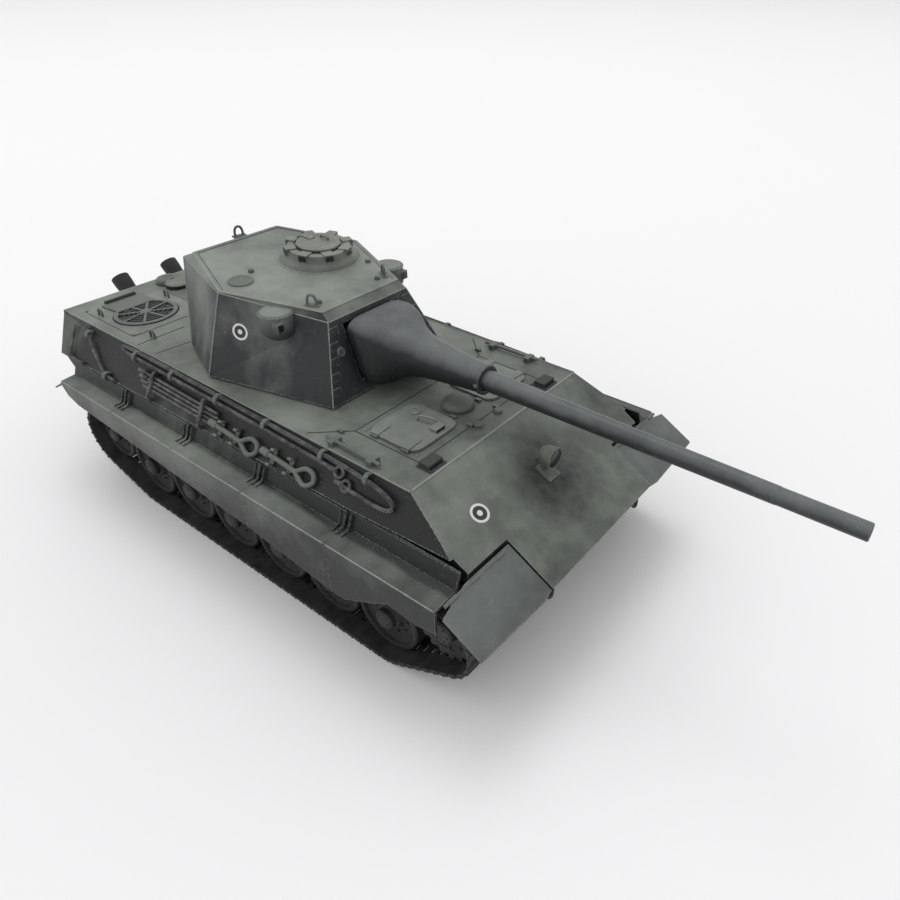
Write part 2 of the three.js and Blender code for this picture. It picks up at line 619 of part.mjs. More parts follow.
/** Mantlet: cast shield in front of the turret, narrowing to the sleeve round the barrel. */
function mantlet() {
  const shield = loft([
    mantletRing(51.8, 27, 21, 22, 1, 0.33),
    mantletRing(59.6, 27.5, 21, 22.5, 0.9, 0.26),
    mantletRing(67, 25, 20, 21, 0.6, 0.18),
    mantletRing(74, 20.5, 17.5, 18.5, 0.3, 0.1),
    mantletRing(82, 16.8, 15.6, 16.4, 0.1, 0),
    mantletRing(94, 14, 13.8, 14, 0, 0),
    mantletRing(118, 11.2, 11.2, 11.2, 0, 0),
    mantletRing(140, 9.2, 9.2, 9.2, 0, 0),
    mantletRing(142, 8.4, 8.4, 8.4, 0, 0),
  ]);
  const neck = box(14, 60, -22, 22, GUN_Z - 15, GUN_Z + 11);
  return cut(join(shield, neck), disc('x', BORE_CLEAR, 0, 160, [0, 0, GUN_Z], 24));
}
add('mantlet', mantlet(), COLOUR.turret);

/** Barrel: a tapering tube with a breech block behind it, free to slide back in the mantlet. */
function barrel() {
  const tube = turned([[0, 6], [6.8, 6], [6.8, 150], [6.5, 160], [5.2, 300], [4.9, 330], [4.9, MUZZLE_X],
    [2.9, MUZZLE_X], [2.9, MUZZLE_X - 30], [0, MUZZLE_X - 30]], 'x', [0, 0, GUN_Z], 24);
  const breech = box(-14, 8, -9, 9, GUN_Z - 9, GUN_Z + 9);
  return join(tube, breech);
}
add('barrel', barrel(), COLOUR.barrel);

// ---------------------------------------------------------------- running gear
const WHEEL_Y = -(TRACK_IN + TRACK_OUT) / 2;
const WHEEL_Z = WHEEL_RADIUS + TRACK_THICK;

/** Twin-disc wheel on the Y axis, with a groove for the track's guide horns. */
function wheel(radius, hub, at, segments) {
  return turned([[0, -20], [hub, -20], [hub, -16], [radius, -16], [radius, -4], [radius * 0.45, -4],
    [radius * 0.45, 4], [radius, 4], [radius, 16], [hub, 16], [hub, 20], [0, 20]], 'y', at, segments);
}
for (let i = 0; i < WHEEL_COUNT; i += 1) {
  const x = WHEEL_FIRST_X - i * WHEEL_PITCH;
  const piece = wheel(WHEEL_RADIUS, 7, [x, WHEEL_Y, WHEEL_Z], 16);
  add(`wheel_right_${i + 1}`, piece, COLOUR.wheel);
  add(`wheel_left_${i + 1}`, piece.mirror([0, 1, 0]), COLOUR.wheel);
}
addPair('sprocket', wheel(SPROCKET.radius, 8, [SPROCKET.x, WHEEL_Y, SPROCKET.z], 18), COLOUR.wheel);
addPair('idler', wheel(IDLER.radius, 6, [IDLER.x, WHEEL_Y, IDLER.z], 16), COLOUR.wheel);

/** Outline of the taut loop round the sprocket, idler and road wheels, at a height above them. */
function loopOutline(height) {
  const wheels = [[SPROCKET.x, SPROCKET.z, SPROCKET.radius], [IDLER.x, IDLER.z, IDLER.radius],
    [WHEEL_FIRST_X, WHEEL_Z, WHEEL_RADIUS],
    [WHEEL_FIRST_X - (WHEEL_COUNT - 1) * WHEEL_PITCH, WHEEL_Z, WHEEL_RADIUS]];
  const steps = 28;
  const points = wheels.flatMap(([x, z, radius]) => [...Array(steps).keys()].map((k) => {
    const angle = ((k + 0.5) / steps) * 2 * Math.PI;
    return [x + (radius + height) * Math.cos(angle), z + (radius + height) * Math.sin(angle)];
  })).sort((a, b) => a[0] - b[0] || a[1] - b[1]);
  const turn = (o, a, b) => (a[0] - o[0]) * (b[1] - o[1]) - (a[1] - o[1]) * (b[0] - o[0]);
  const half = (list) => list.reduce((chain, point) => {
    while (chain.length > 1 && turn(chain.at(-2), chain.at(-1), point) <= 0) chain.pop();
    return [...chain, point];
  }, []);
  const [low, high] = [half(points), half([...points].reverse())];
  return [...low.slice(0, -1), ...high.slice(0, -1)];
}

function track() {
  const flat = Math.cos(Math.PI / 28);
  const lift = WHEEL_Z / flat - WHEEL_RADIUS;
  const outer = prismY(loopOutline(lift), -TRACK_OUT, -TRACK_IN);
  const inner = prismY(loopOutline(0.7), -TRACK_OUT - 1, -TRACK_IN + 1);
  return cut(outer, inner);
}
addPair('track', track(), COLOUR.track);

export default tank;
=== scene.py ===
import math

import bmesh
import bpy
import numpy as np
from mathutils import Matrix, Vector


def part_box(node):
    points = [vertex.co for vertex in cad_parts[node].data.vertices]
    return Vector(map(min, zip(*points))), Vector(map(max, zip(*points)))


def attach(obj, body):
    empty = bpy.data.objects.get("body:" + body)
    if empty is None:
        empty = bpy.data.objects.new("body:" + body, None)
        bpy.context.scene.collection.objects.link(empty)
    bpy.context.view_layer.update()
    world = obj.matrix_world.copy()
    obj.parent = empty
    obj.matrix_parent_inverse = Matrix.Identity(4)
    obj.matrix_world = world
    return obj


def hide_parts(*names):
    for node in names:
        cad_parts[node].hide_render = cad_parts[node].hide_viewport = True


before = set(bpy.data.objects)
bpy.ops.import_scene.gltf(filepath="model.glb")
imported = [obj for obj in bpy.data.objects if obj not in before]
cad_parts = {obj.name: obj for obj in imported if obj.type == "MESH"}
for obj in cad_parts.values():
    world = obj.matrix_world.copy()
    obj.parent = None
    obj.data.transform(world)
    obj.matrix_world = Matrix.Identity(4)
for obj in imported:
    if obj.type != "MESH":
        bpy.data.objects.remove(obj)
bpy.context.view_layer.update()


# ---- Hull plates -------------------------------------------------------------------------
# The upper hull, the tub, the engine cover and the battery cover are moulded plastic plates,
# sprayed field grey, darkened on the sides partly by airbrush and partly by painted shade, and rubbed
# lighter along their edges.
class Wire:
    """One shader socket. Sums on wires add Math nodes, and make adds any other node."""

    def __init__(self, tree, socket=None):
        self.tree = tree
        self.socket = socket

    def make(self, kind, settings=(), out=0, **sockets):
        """A node of a kind: its settings first, then values or wires for its sockets by number."""
        node = self.tree.nodes.new(kind)
        for key, value in dict(settings).items():
            if key == "stops":
                ramp = node.color_ramp
                for index, (place, colour) in enumerate(value):
                    stop = ramp.elements[index] if index < 2 else ramp.elements.new(place)
                    stop.position = place
                    stop.color = colour
            else:
                setattr(node, key, value)
        for key, value in sockets.items():
            target = node.inputs[int(key[1:])]
            if isinstance(value, Wire):
                self.tree.links.new(value.socket, target)
            else:
                target.default_value = value
        return Wire(self.tree, node.outputs[out])

    def sum(self, operation, first, second=0.0, clamp=False):
        """A Math node; its result may be held between 0 and 1."""
        settings = {"operation": operation, "use_clamp": clamp}
        return self.make("ShaderNodeMath", settings, i0=first, i1=second)

    def __add__(self, other):
        return self.sum("ADD", self, other)

    __radd__ = __add__

    def __sub__(self, other):
        return self.sum("SUBTRACT", self, other)

    def __rsub__(self, other):
        return self.sum("SUBTRACT", other, self)

    def __mul__(self, other):
        return self.sum("MULTIPLY", self, other)

    __rmul__ = __mul__

    def between(self, low, high):
        """0 at low, 1 at high and smooth on the way."""
        settings = {"interpolation_type": "SMOOTHSTEP"}
        return self.make("ShaderNodeMapRange", settings, i0=self, i1=low, i2=high)

    def noise(self, place, scale, detail=4.0, rough=0.55):
        """Soft noise from 0 to 1, with a scale in lumps to the metre."""
        return self.make("ShaderNodeTexNoise", i0=place, i2=scale, i3=detail, i4=rough)

    def mix(self, share, first, second):
        """A colour that goes from first to second as share goes from 0 to 1."""
        settings = {"data_type": "RGBA"}
        return self.make("ShaderNodeMix", settings, out=2, i0=share, i6=first, i7=second)

    def away(self, place, centre):
        """Distance from a point, in metres."""
        return self.make("ShaderNodeVectorMath", {"operation": "DISTANCE"}, out=1, i0=place, i1=centre)


def new_finish(name):
    """An empty material, a wire to build on, and its shader node."""
    material = bpy.data.materials.new(name)
    material.use_nodes = True
    tree = material.node_tree
    return material, Wire(tree), tree.nodes["Principled BSDF"]


def wire_up(tree, shader, **sockets):
    """Links wires, or sets values, on the shader's sockets by name."""
    for key, value in sockets.items():
        target = shader.inputs[key.replace("_", " ")]
        if isinstance(value, Wire):
            tree.links.new(value.socket, target)
        else:
            target.default_value = value


RING_X = -31.0
ring_low, ring_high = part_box("turret_ring")
DATUM = (ring_low[0] + ring_high[0]) / 2 - RING_X / 1000


def spot(x, y, z):
    """Metres in the row frame from millimetres on the hull's own drawing."""
    return (DATUM + x / 1000, y / 1000, z / 1000)


def paint(name, light, dark, shade=None, roundels=(), gloss=0.52, grain=0.12, wear=0.5):
    """Sprayed paint: soft clouds, a painted highlight on faces that look up, a darker tone where shade says
    (airbrush on some parts, painted shade on others), dust, runs and rubbed edges.
    """
    material, w, shader = new_finish(name)
    place = w.make("ShaderNodeTexCoord", out=3)
    face = w.make("ShaderNodeNewGeometry", out=1)
    x, y, z = [w.make("ShaderNodeSeparateXYZ", out=k, i0=place) for k in range(3)]
    upward = w.make("ShaderNodeSeparateXYZ", out=2, i0=face)
    clouds = w.noise(place, 17.0, 3.0, 0.6)
    patches = w.noise(place, 55.0, 4.0, 0.6)
    stretched = w.make("ShaderNodeMapping", i0=place, i3=(90.0, 90.0, 12.0))
    runs = w.noise(stretched, 1.0, 4.0, 0.6)
    specks = w.noise(place, 900.0, 2.0, 0.6)
    tone = 0.55 + (clouds - 0.5) * 1.1 + (patches - 0.5) * 0.5 + (runs - 0.5) * 0.35
    # Painted highlight: faces that look up are made lighter, as light from above would make them.
    tone = tone + upward.between(0.1, 0.95) * 0.22 - 0.08
    if shade is not None:
        tone = tone - shade(w, x, y, z, upward, clouds)
    tone = w.sum("ADD", tone, 0.0, clamp=True)
    colour = w.mix(tone, (*dark, 1.0), (*light, 1.0))
    soft = w.make("ShaderNodeBevel", {"samples": 4}, i0=0.0011)
    turn = w.make("ShaderNodeVectorMath", {"operation": "DOT_PRODUCT"}, out=1, i0=soft, i1=face)
    edge = (1 - turn).between(0.015, 0.2) * specks.between(0.38, 0.6) * wear
    rubbed = tuple(min(1.0, 1.9 * c + 0.03) for c in light)
    colour = w.mix(edge, colour, (*rubbed, 1.0))
    dust = specks.between(0.56, 0.72) * patches.between(0.4, 0.7) * 0.22
    colour = w.mix(dust, colour, (0.36, 0.36, 0.33, 1.0))
    for centre, radius in roundels:
        away = w.away(place, centre)
        disc = 1 - away.between(radius * 0.98, radius)
        ring = away.between(radius * 0.72, radius * 0.75)
        dot = 1 - away.between(radius * 0.28, radius * 0.31)
        chipped = 0.9 - patches.between(0.6, 0.75) * 0.35
        mark = w.mix(w.sum("MAXIMUM", ring, dot), (0.02, 0.021, 0.022, 1.0), (0.72, 0.72, 0.69, 1.0))
        colour = w.mix(disc * chipped, colour, mark)
    bump_height = specks * 0.5 + w.noise(place, 2600.0, 2.0, 0.5) * 0.5
    bump = w.make("ShaderNodeBump", i0=grain, i1=0.0004, i3=bump_height)
    rough = gloss + (patches - 0.5) * 0.25 - edge * 0.1
    wire_up(w.tree, shader, Base_Color=colour, Roughness=rough, Normal=bump)
    shader.inputs["Specular IOR Level"].default_value = 0.42
    return material


def hull_shade(w, x, y, z, upward, clouds):
    """Dark airbrush and painted shade: the sloping sides and the walls under them darken by their facing,
    partly airbrush and partly painted shade; the middle of the glacis darkens, with a painted headlight
    shadow.
    """
    # Faces that don't look up are darkened: partly airbrush, partly painted shade.
    wall = 1 - w.sum("ABSOLUTE", upward).between(0.66, 0.84)
    side = wall * (0.46 + x.between(DATUM - 0.25, DATUM - 0.11) * 0.5)
    slope = w.sum("ABSOLUTE", upward).between(0.8, 0.84) * (1 - upward.between(0.9, 0.96))
    # Painted shadow of the headlight: a dark round patch on the glacis about the lamp.
    lamp = w.away(w.make("ShaderNodeCombineXYZ", i0=x, i1=y, i2=z), spot(190, 4, 103))
    painted_lamp_shadow = (1 - lamp.between(0.012, 0.05)) * slope * 0.3
    middle = slope * 0.14 + painted_lamp_shadow
    foot = (1 - z.between(0.07, 0.082)) * slope * 0.08
    low = (1 - z.between(0.066, 0.09)) * (1 - slope) * 0.3
    front = x.between(DATUM + 0.06, DATUM + 0.13) * upward.between(0.9, 0.98) * 0.16
    return side + middle + foot + low + front + 0.04 - clouds * 0.1


GLACIS_MARK = spot(182, -58.2, 100.2)
hull_paint = paint("field_grey_hull", (0.23, 0.256, 0.224), (0.008, 0.010, 0.009), hull_shade,
                   roundels=[(GLACIS_MARK, 0.0062)])


def dress(material, *names):
    """Gives CAD nodes a finish in all their material slots."""
    for name in names:
        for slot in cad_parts[name].material_slots:
            slot.material = material


dress(hull_paint, "upper_hull", "lower_hull", "engine_cover", "battery_cover")


# ---- Seams and weld beads of the hull ---------------------------------------------------
# The plates meet at raised weld beads with small ripples. They are moulded with the hull
# and catch the light, because the dry brush touched them last.
def joined(*shapes):
    """Several (points, faces) shapes as one."""
    points, faces, start = [], [], 0
    for shape_points, shape_faces in shapes:
        points.append(np.asarray(shape_points, float))
        faces += [tuple(int(k) + start for k in face) for face in shape_faces]
        start += len(shape_points)
    return np.concatenate(points), faces


def mirrored(shape):
    """The same shape on the other side of the hull's middle plane."""
    points, faces = shape
    return np.asarray(points, float) * (1, -1, 1), [face[::-1] for face in faces]


def both_sides(*shapes):
    """Shapes and their mirror images as one."""
    return joined(*shapes, *[mirrored(shape) for shape in shapes])


def unit(vectors):
    """Vectors scaled to a length of one."""
    vectors = np.asarray(vectors, float)
    return vectors / np.maximum(np.linalg.norm(vectors, axis=-1, keepdims=True), 1e-12)


def through(points, count):
    """A smooth curve through points: each piece is a cubic that leaves along its neighbours."""
    points = np.asarray(points, float)
    padded = np.concatenate([[2 * points[0] - points[1]], points, [2 * points[-1] - points[-2]]])
    place = np.linspace(0, len(points) - 1 - 1e-9, count)
    index = place.astype(int)
    f = (place - index)[:, None]
    a, b, c, d = (padded[index + k] for k in range(4))
    return 0.5 * (2 * b + (c - a) * f + (2 * a - 5 * b + 4 * c - d) * f**2 + (3 * b - a - 3 * c + d) * f**3)


def along(points, step):
    """Points every step of the way along straight runs, their corners kept."""
    points = np.asarray(points, float)
    gaps = np.linalg.norm(np.diff(points, axis=0), axis=1)
    way = np.concatenate([[0], np.cumsum(gaps)])
    marks = np.unique(np.concatenate([way, np.arange(0, way[-1], step)]))
    return np.stack([np.interp(marks, way, points[:, k]) for k in range(3)], axis=1)


def rod(path, radius, sides=10, up=(0.03, 0.05, 1.0), closed=False, flat=1.0):
    """A round bar: circles of a radius, set square to the path, one at each of its points."""
    path = np.asarray(path, float)
    radius = np.broadcast_to(np.asarray(radius, float), len(path))
    if closed:
        tangent = unit(np.roll(path, -1, axis=0) - np.roll(path, 1, axis=0))
    else:
        tangent = unit(np.gradient(path, axis=0))
    up = np.broadcast_to(np.asarray(up, float), path.shape)
    normal = unit(up - (up * tangent).sum(axis=1, keepdims=True) * tangent)
    across = np.cross(tangent, normal)
    angle = np.arange(sides) * 2 * math.pi / sides
    circle = (np.cos(angle)[None, :, None] * across[:, None]
              + flat * np.sin(angle)[None, :, None] * normal[:, None])
    points = (path[:, None] + radius[:, None, None] * circle).reshape(-1, 3)
    rows = len(path) if closed else len(path) - 1
    i, k = np.meshgrid(np.arange(rows), np.arange(sides), indexing="ij")
    j, m = (i + 1) % len(path), (k + 1) % sides
    faces = np.stack([i * sides + k, j * sides + k, j * sides + m, i * sides + m], axis=-1).reshape(-1, 4)
    faces = [tuple(face) for face in faces]
    if not closed:
        faces += [tuple(range(sides)), tuple(range(len(points) - 1, len(points) - sides - 1, -1))]
    return points, faces


def bead(points, radius=0.75, up=(0.02, 0.03, 1.0)):
    """A weld bead: a thin bar with a ripple every 1.6 mm, half sunk in the plates."""
    path = along(points, 0.55)
    way = np.concatenate([[0], np.cumsum(np.linalg.norm(np.diff(path, axis=0), axis=1))])
    ripple = 1 + 0.16 * np.sin(way * 2 * math.pi / 1.6)
    return rod(path, radius * ripple, 6, up, flat=0.75)


def plate(outline, low, high):
    """A flat plate: an outline in x and y, from a low to a high z."""
    outline = np.asarray(outline, float)
    count = len(outline)
    points = np.concatenate([np.column_stack([outline, np.full(count, z)]) for z in (low, high)])
    k = np.arange(count)
    walls = np.stack([k, (k + 1) % count, (k + 1) % count + count, k + count], axis=1)
    faces = [tuple(face) for face in walls]
    return points, faces + [tuple(k[::-1]), tuple(k + count)]


def block(low, high):
    """A square block between two corners."""
    (x0, y0, z0), (x1, y1, z1) = low, high
    return plate([(x0, y0), (x1, y0), (x1, y1), (x0, y1)], z0, z1)


def turned(profile, centre=(0, 0, 0), axis="z", steps=56):
    """A body of revolution: x = r cos a, y = r sin a, z = h for each radius r and height h."""
    radius, height = np.asarray(profile, float).T
    angle = np.arange(steps) * 2 * math.pi / steps
    grid = np.stack([radius[:, None] * np.cos(angle), radius[:, None] * np.sin(angle),
                     np.repeat(height[:, None], steps, axis=1)], axis=-1).reshape(-1, 3)
    if axis == "x":
        grid = grid[:, [2, 0, 1]]
    if axis == "y":
        grid = grid[:, [1, 2, 0]]
    i, k = np.meshgrid(np.arange(len(radius) - 1), np.arange(steps), indexing="ij")
    m = (k + 1) % steps
    faces = np.stack([i * steps + k, i * steps + m, (i + 1) * steps + m, (i + 1) * steps + k], axis=-1)
    return grid + np.asarray(centre, float), [tuple(face) for face in faces.reshape(-1, 4)]


def seated(shape, origin, forward, up):
    """A shape drawn flat at the origin, set on a surface: x runs forward and z runs up."""
    points, faces = shape
    z = unit(up)
    x = unit(np.asarray(forward, float) - np.dot(forward, z) * z)
    turn = np.stack([x, np.cross(z, x), z])
    return np.asarray(points, float) @ turn + np.asarray(origin, float), faces


def piece(name, shape, material, body, bevel=0.0, sharp=32):
    """Makes one piece of the drawing: closed, facing outward, riding on a body."""
    points, faces = shape
    mesh = bpy.data.meshes.new(name)
    mesh.from_pydata((np.asarray(points, float) / 1000 + (DATUM, 0, 0)).tolist(), [], faces)
    work = bmesh.new()
    work.from_mesh(mesh)
    bmesh.ops.remove_doubles(work, verts=work.verts, dist=2e-6)
    bmesh.ops.dissolve_degenerate(work, edges=work.edges, dist=1e-6)
    bmesh.ops.recalc_face_normals(work, faces=work.faces)
    work.to_mesh(mesh)
    work.free()
    mesh.shade_smooth()
    mesh.set_sharp_from_angle(angle=math.radians(sharp))
    mesh.materials.append(material)
    made = bpy.data.objects.new(name, mesh)
    bpy.context.scene.collection.objects.link(made)
    if bevel:
        rounding = made.modifiers.new("rounding", "BEVEL")
        rounding.width = bevel / 1000
        rounding.segments = 2
        rounding.limit_method = "ANGLE"
        rounding.angle_limit = math.radians(40)
    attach(made, body)
    return made


DECK_Z = 117.3
DECK_HALF = 82.4
FRONT_X = 152.6
SIDE_Z = 95.4
GLACIS = -0.5804
GLACIS_UP = unit((0.502, 0, 0.865))


def glacis(x, y, lift=0.0):
    """A point on the sloping front plate."""
    return np.array([x, y, DECK_Z + GLACIS * (x - FRONT_X)]) + lift * GLACIS_UP


def side_foot(x):
    """Half width of the foot of the hull side, which draws in towards the bow."""
    return np.interp(x, [-260, 115, 201, 260], [104.4, 97.2, 92.9, 89.8])


def side_at(x, t, lift=0.0):
    """A point on the right hull side: t runs from the deck edge, 0, to the foot, 1."""
    run, fall = side_foot(x) - DECK_HALF, DECK_Z - SIDE_Z
    length = math.hypot(run, fall)
    return np.array([x, -(DECK_HALF + run * t + fall / length * lift),
                     DECK_Z - fall * t + run / length * lift])


SIDE_UP = unit((0, -0.8, 0.6))
rubbed_paint = paint("rubbed_seams", (0.27, 0.295, 0.262), (0.075, 0.085, 0.078), gloss=0.5, wear=0.5)
seams = joined(
    bead([(FRONT_X, -81, DECK_Z), (FRONT_X, 81, DECK_Z)]),
    both_sides(
        bead([(-222, -DECK_HALF, DECK_Z), (FRONT_X, -DECK_HALF, DECK_Z)], 0.6, (0.1, 1, 0.2)),
    ),
)
piece("hull_weld_beads", seams, rubbed_paint, "hull")

# The seam strips are dark: painted shadow of the panel grooves, with dark wash in them.
groove_paint = paint("seam_shadow", (0.055, 0.06, 0.058), (0.02, 0.022, 0.022), gloss=0.7, wear=0.0)


def strip(points, width=0.9, height=0.14, up=(0, 0, 1)):
    """A thin flat strip along straight runs, for a panel seam: its dark colour is painted shadow of the
    groove, with dark wash in it.
    """
    points = np.asarray(points, float)
    shapes = []
    for a, b in zip(points[:-1], points[1:]):
        length = np.linalg.norm(b - a)
        bar = block((0, -width / 2, -0.2), (length, width / 2, height))
        shapes.append(seated(bar, a, b - a, up))
    return joined(*shapes)


top = DECK_Z
panel = [(84, -60, top), (138, -60, top), (138, 60, top), (84, 60, top), (84, -60, top)]
rear_seams = [[(-128, -79, top), (-128, -42, top)], [(-105, -79, top), (-102, -53, top)],
              [(-128, 79, top), (-128, 42, top)], [(-105, 79, top), (-102, 53, top)],
              [(84, -60, top), (62, -79, top)], [(84, 60, top), (62, 79, top)]]
piece("deck_seams", joined(strip(panel), *[strip(run) for run in rear_seams]),
      groove_paint, "hull")


# ---- Side skirts -------------------------------------------------------------------------
# Five folded plates a side hang from the sponsons. At each joint a three-ribbed bracket
# holds the ledge, and a rubbed bead runs along the outer fold.
def skirt_shade(w, x, y, z, upward, clouds):
    """Darker towards the lower edge and towards the front, with painted shade on the ledge's inner side by
    the hull.
    """
    low = (1 - z.between(0.05, 0.082)) * 0.3
    # Painted shade in the recess between the ledge and the hull side.
    inner = (1 - w.sum("ABSOLUTE", y).between(0.1035, 0.1085)) * 0.5
    ahead = x.between(DATUM - 0.03, DATUM + 0.16) * 0.3
    return low + inner + ahead + 0.1


skirt_paint = paint("field_grey_skirts", (0.2, 0.223, 0.196), (0.014, 0.017, 0.015), skirt_shade)
SKIRT_X = (200.2, 114.9, 37.5, -38.2, -113.3, -186.0)
dress(skirt_paint, *[f"skirt_{side}_{k}" for side in ("right", "left") for k in range(1, 6)])

ribs = []
for joint in SKIRT_X[1:5]:
    for step in (-4.2, 0.0, 4.2):
        foot = side_foot(joint) + 5.3
        path = [(joint + step, -side_foot(joint) - 1.6, 94.2), (joint + step, -foot, 86.0),
                (joint + step, -foot - 5.5, 85.2)]
        ribs.append(rod(through(path, 9), 0.85, 6, (1, 0.01, 0.02)))
ridge = [bead([(a - 1.2, -117.5, 83.7), (b + 1.2, -117.5, 83.7)], 0.5, (0, -1, 0.3))
         for a, b in zip(SKIRT_X[:-1], SKIRT_X[1:])]
piece("skirt_brackets", both_sides(*ribs), skirt_paint, "hull")
piece("skirt_fold_beads", both_sides(*ridge), rubbed_paint, "hull")


# ---- Mudguard flaps ----------------------------------------------------------------------
# A stamped flap with a hinge roll along its rear edge, knuckles on the roll and a short
# raised bead in front of them. It is darker low down.
flap_paint = paint("field_grey_flaps", (0.16, 0.178, 0.168), (0.03, 0.034, 0.033),
                   lambda w, x, y, z, upward, clouds: (1 - z.between(0.064, 0.082)) * 0.25)
dress(flap_paint, "mudguard_right", "mudguard_left")
FLAP = -1.4


def on_flap(x, y, lift=0.0):
    """A point on the outer face of the right flap, which lies just under the glacis."""
    return glacis(x, y, FLAP + lift)


flap_parts = joined(
    rod([on_flap(204.2, -113, -0.4), on_flap(204.2, -62, -0.4)], 1.1, 12),
    *[rod([on_flap(204.2, y, -0.3), on_flap(204.2, y + 6, -0.3)], 1.5, 12) for y in (-110, -92, -70)],
    bead([on_flap(217, -97), on_flap(217, -90)], 0.6),
)
piece("mudguard_fittings_right", flap_parts, flap_paint, "flap_right")
piece("mudguard_fittings_left", mirrored(flap_parts), flap_paint, "flap_left")


# ---- Crew hatches ------------------------------------------------------------------------
# Each lid is a plate with round corners, a bent grab handle, two strap hinges on the outer
# edge and a periscope hood. The hinge blocks and the stops stay on the deck.
lid_paint = paint("field_grey_lids", (0.24, 0.262, 0.24), (0.05, 0.055, 0.054))
dress(lid_paint, "radio_hatch", "driver_hatch")
LID_Z = DECK_Z + 1.9
dark_glass, w, shader = new_finish("periscope_glass")
smear = w.noise(w.make("ShaderNodeTexCoord", out=3), 160.0)
wire_up(w.tree, shader, Base_Color=w.mix(smear, (0.004, 0.005, 0.006, 1.0), (0.02, 0.022, 0.026, 1.0)),
        Roughness=0.08 + smear * 0.2)

lid_parts = joined(
    rod(through([(109, -30, LID_Z - 0.5), (109, -30, LID_Z + 2),
                 (111, -29, LID_Z + 3.6), (119, -27, LID_Z + 3.6),
                 (121, -26.5, LID_Z + 2), (121, -26.5, LID_Z - 0.5)], 40), 0.8, 10, (0.1, 1, 0)),
    *[seated(plate([(-3, -7), (3, -7), (2.2, 5), (-2.2, 5)], -0.2, 0.9),
             (x, -50, LID_Z), (1, 0, 0), (0, 0, 1))
      for x in (98, 124)],
    strip([(95, -52.5, LID_Z), (95, -19.5, LID_Z), (127.5, -19.5, LID_Z), (127.5, -52.5, LID_Z),
           (95, -52.5, LID_Z)], 0.7, 0.1),
    turned([(0, -0.3), (3.4, -0.3), (3.4, 0.7), (2.8, 1.1), (0, 1.2)], (101, -24, LID_Z), steps=28),
)
piece("radio_hatch_fittings", lid_parts, lid_paint, "radio_lid", 0.15)
piece("driver_hatch_fittings", mirrored(lid_parts), lid_paint, "driver_lid", 0.15)
pane = block((128.05, -33.6, LID_Z + 0.2), (128.5, -26.4, LID_Z + 1.8))
piece("radio_periscope_pane", pane, dark_glass, "radio_lid")
piece("driver_periscope_pane", mirrored(pane), dark_glass, "driver_lid")

fitting_paint = paint("field_grey_fittings", (0.15, 0.168, 0.148), (0.03, 0.034, 0.032), wear=0.6)
knuckles = [rod([(x - 3, -57.2, DECK_Z + 0.9), (x + 3, -57.2, DECK_Z + 0.9)], 1.1, 10) for x in (98, 124)]
rim = [bead([(133.2, -58, DECK_Z), (133.2, -15, DECK_Z)], 0.45),
       bead([(89.3, -15, DECK_Z), (89.3, -58, DECK_Z)], 0.45)]
deck_rod = rod([(77, -76.5, DECK_Z + 2.6), (124, -77.4, DECK_Z + 2.6)], 1.15, 10)
rod_posts = [block((x - 2, -80.5, DECK_Z - 0.2), (x + 2, -72.5, DECK_Z + 3.9)) for x in (84.7, 117.3)]
latches = [block((x - 2.2, y - 1.2, DECK_Z - 0.2), (x + 2.2, y + 1.2, DECK_Z + 1.9))
           for x, y in ((122.8, -12.4), (137.2, -13.4), (78, -66))]
deck_fittings = both_sides(*knuckles, *rim, deck_rod, *rod_posts, *latches)
bolt = [(0, -0.3), (3.0, -0.3), (3.0, 1.4), (2.2, 2.4), (0, 2.7)]
studs = joined(turned(bolt, (141.4, 10, DECK_Z), steps=24), turned(bolt, (141.4, -10, DECK_Z), steps=24))
piece("deck_fittings", joined(deck_fittings, studs), fitting_paint, "hull", 0.2)
hood = joined(block((140.5, -63, DECK_Z - 0.2), (149, -51, DECK_Z + 3.8)),
              block((139, -64, DECK_Z - 0.2), (151, -50, DECK_Z + 0.8)))
piece("driver_periscopes", both_sides(hood), groove_paint, "hull", 0.4)
pane = block((149.05, -62, DECK_Z + 0.8), (149.4, -52, DECK_Z + 3.2))
piece("driver_periscope_glass", both_sides(pane), dark_glass, "hull")


# ---- Ventilator --------------------------------------------------------------------------
# A cast dome between the hatches with a skirt that leaves a slot for the air.
dome = [(0, -0.6), (9.0, -0.6), (9.0, 0.5), (10.7, 0.6), (11, 1.4),
        (10.8, 2.4), (9.8, 4.1), (7.8, 5.4), (4.6, 6.2),
        (2, 6.4), (1.9, 6.4), (0, 6.4)]
vent = piece("ventilator_dome", turned(dome, (116, 0, DECK_Z)), fitting_paint, "hull")
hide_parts("ventilator")


# ---- Headlight ---------------------------------------------------------------------------
# A pressed steel shell on a post on the glacis: a masked lens in a rolled rim in front,
# with the cable let in behind.
lamp_z = float(np.mean([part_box("headlight")[0][2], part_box("headlight")[1][2]])) * 1000 + 4.0
shell = turned([(0, -6.0), (2.2, -6.0), (4.6, -5.0), (6.3, -2.6),
                (7.0, 0.6), (7.0, 3.6), (7.2, 3.8), (7.2, 5.0),
                (6.5, 5.0), (6.4, 4.0), (0, 4.2)], (189, 0, lamp_z), "x", 48)
post = rod([glacis(188, 0, -0.5), (188, 0, lamp_z - 6)], 1.6, 12, (1, 0.02, 0.01))
foot = seated(plate([(-6.5, -5.5), (6.5, -5.5), (6.5, 5.5), (-6.5, 5.5)], 0.3, 1.6),
              glacis(188, 0), (1, 0, GLACIS), GLACIS_UP)
screws = [seated(turned([(0, 1.4), (1.1, 1.4), (1.1, 2.3), (0, 2.4)], (x, y, 0), steps=8),
                 glacis(188, 0), (1, 0, GLACIS),
                 GLACIS_UP) for x in (-4.6, 4.6) for y in (-3.6, 3.6)]
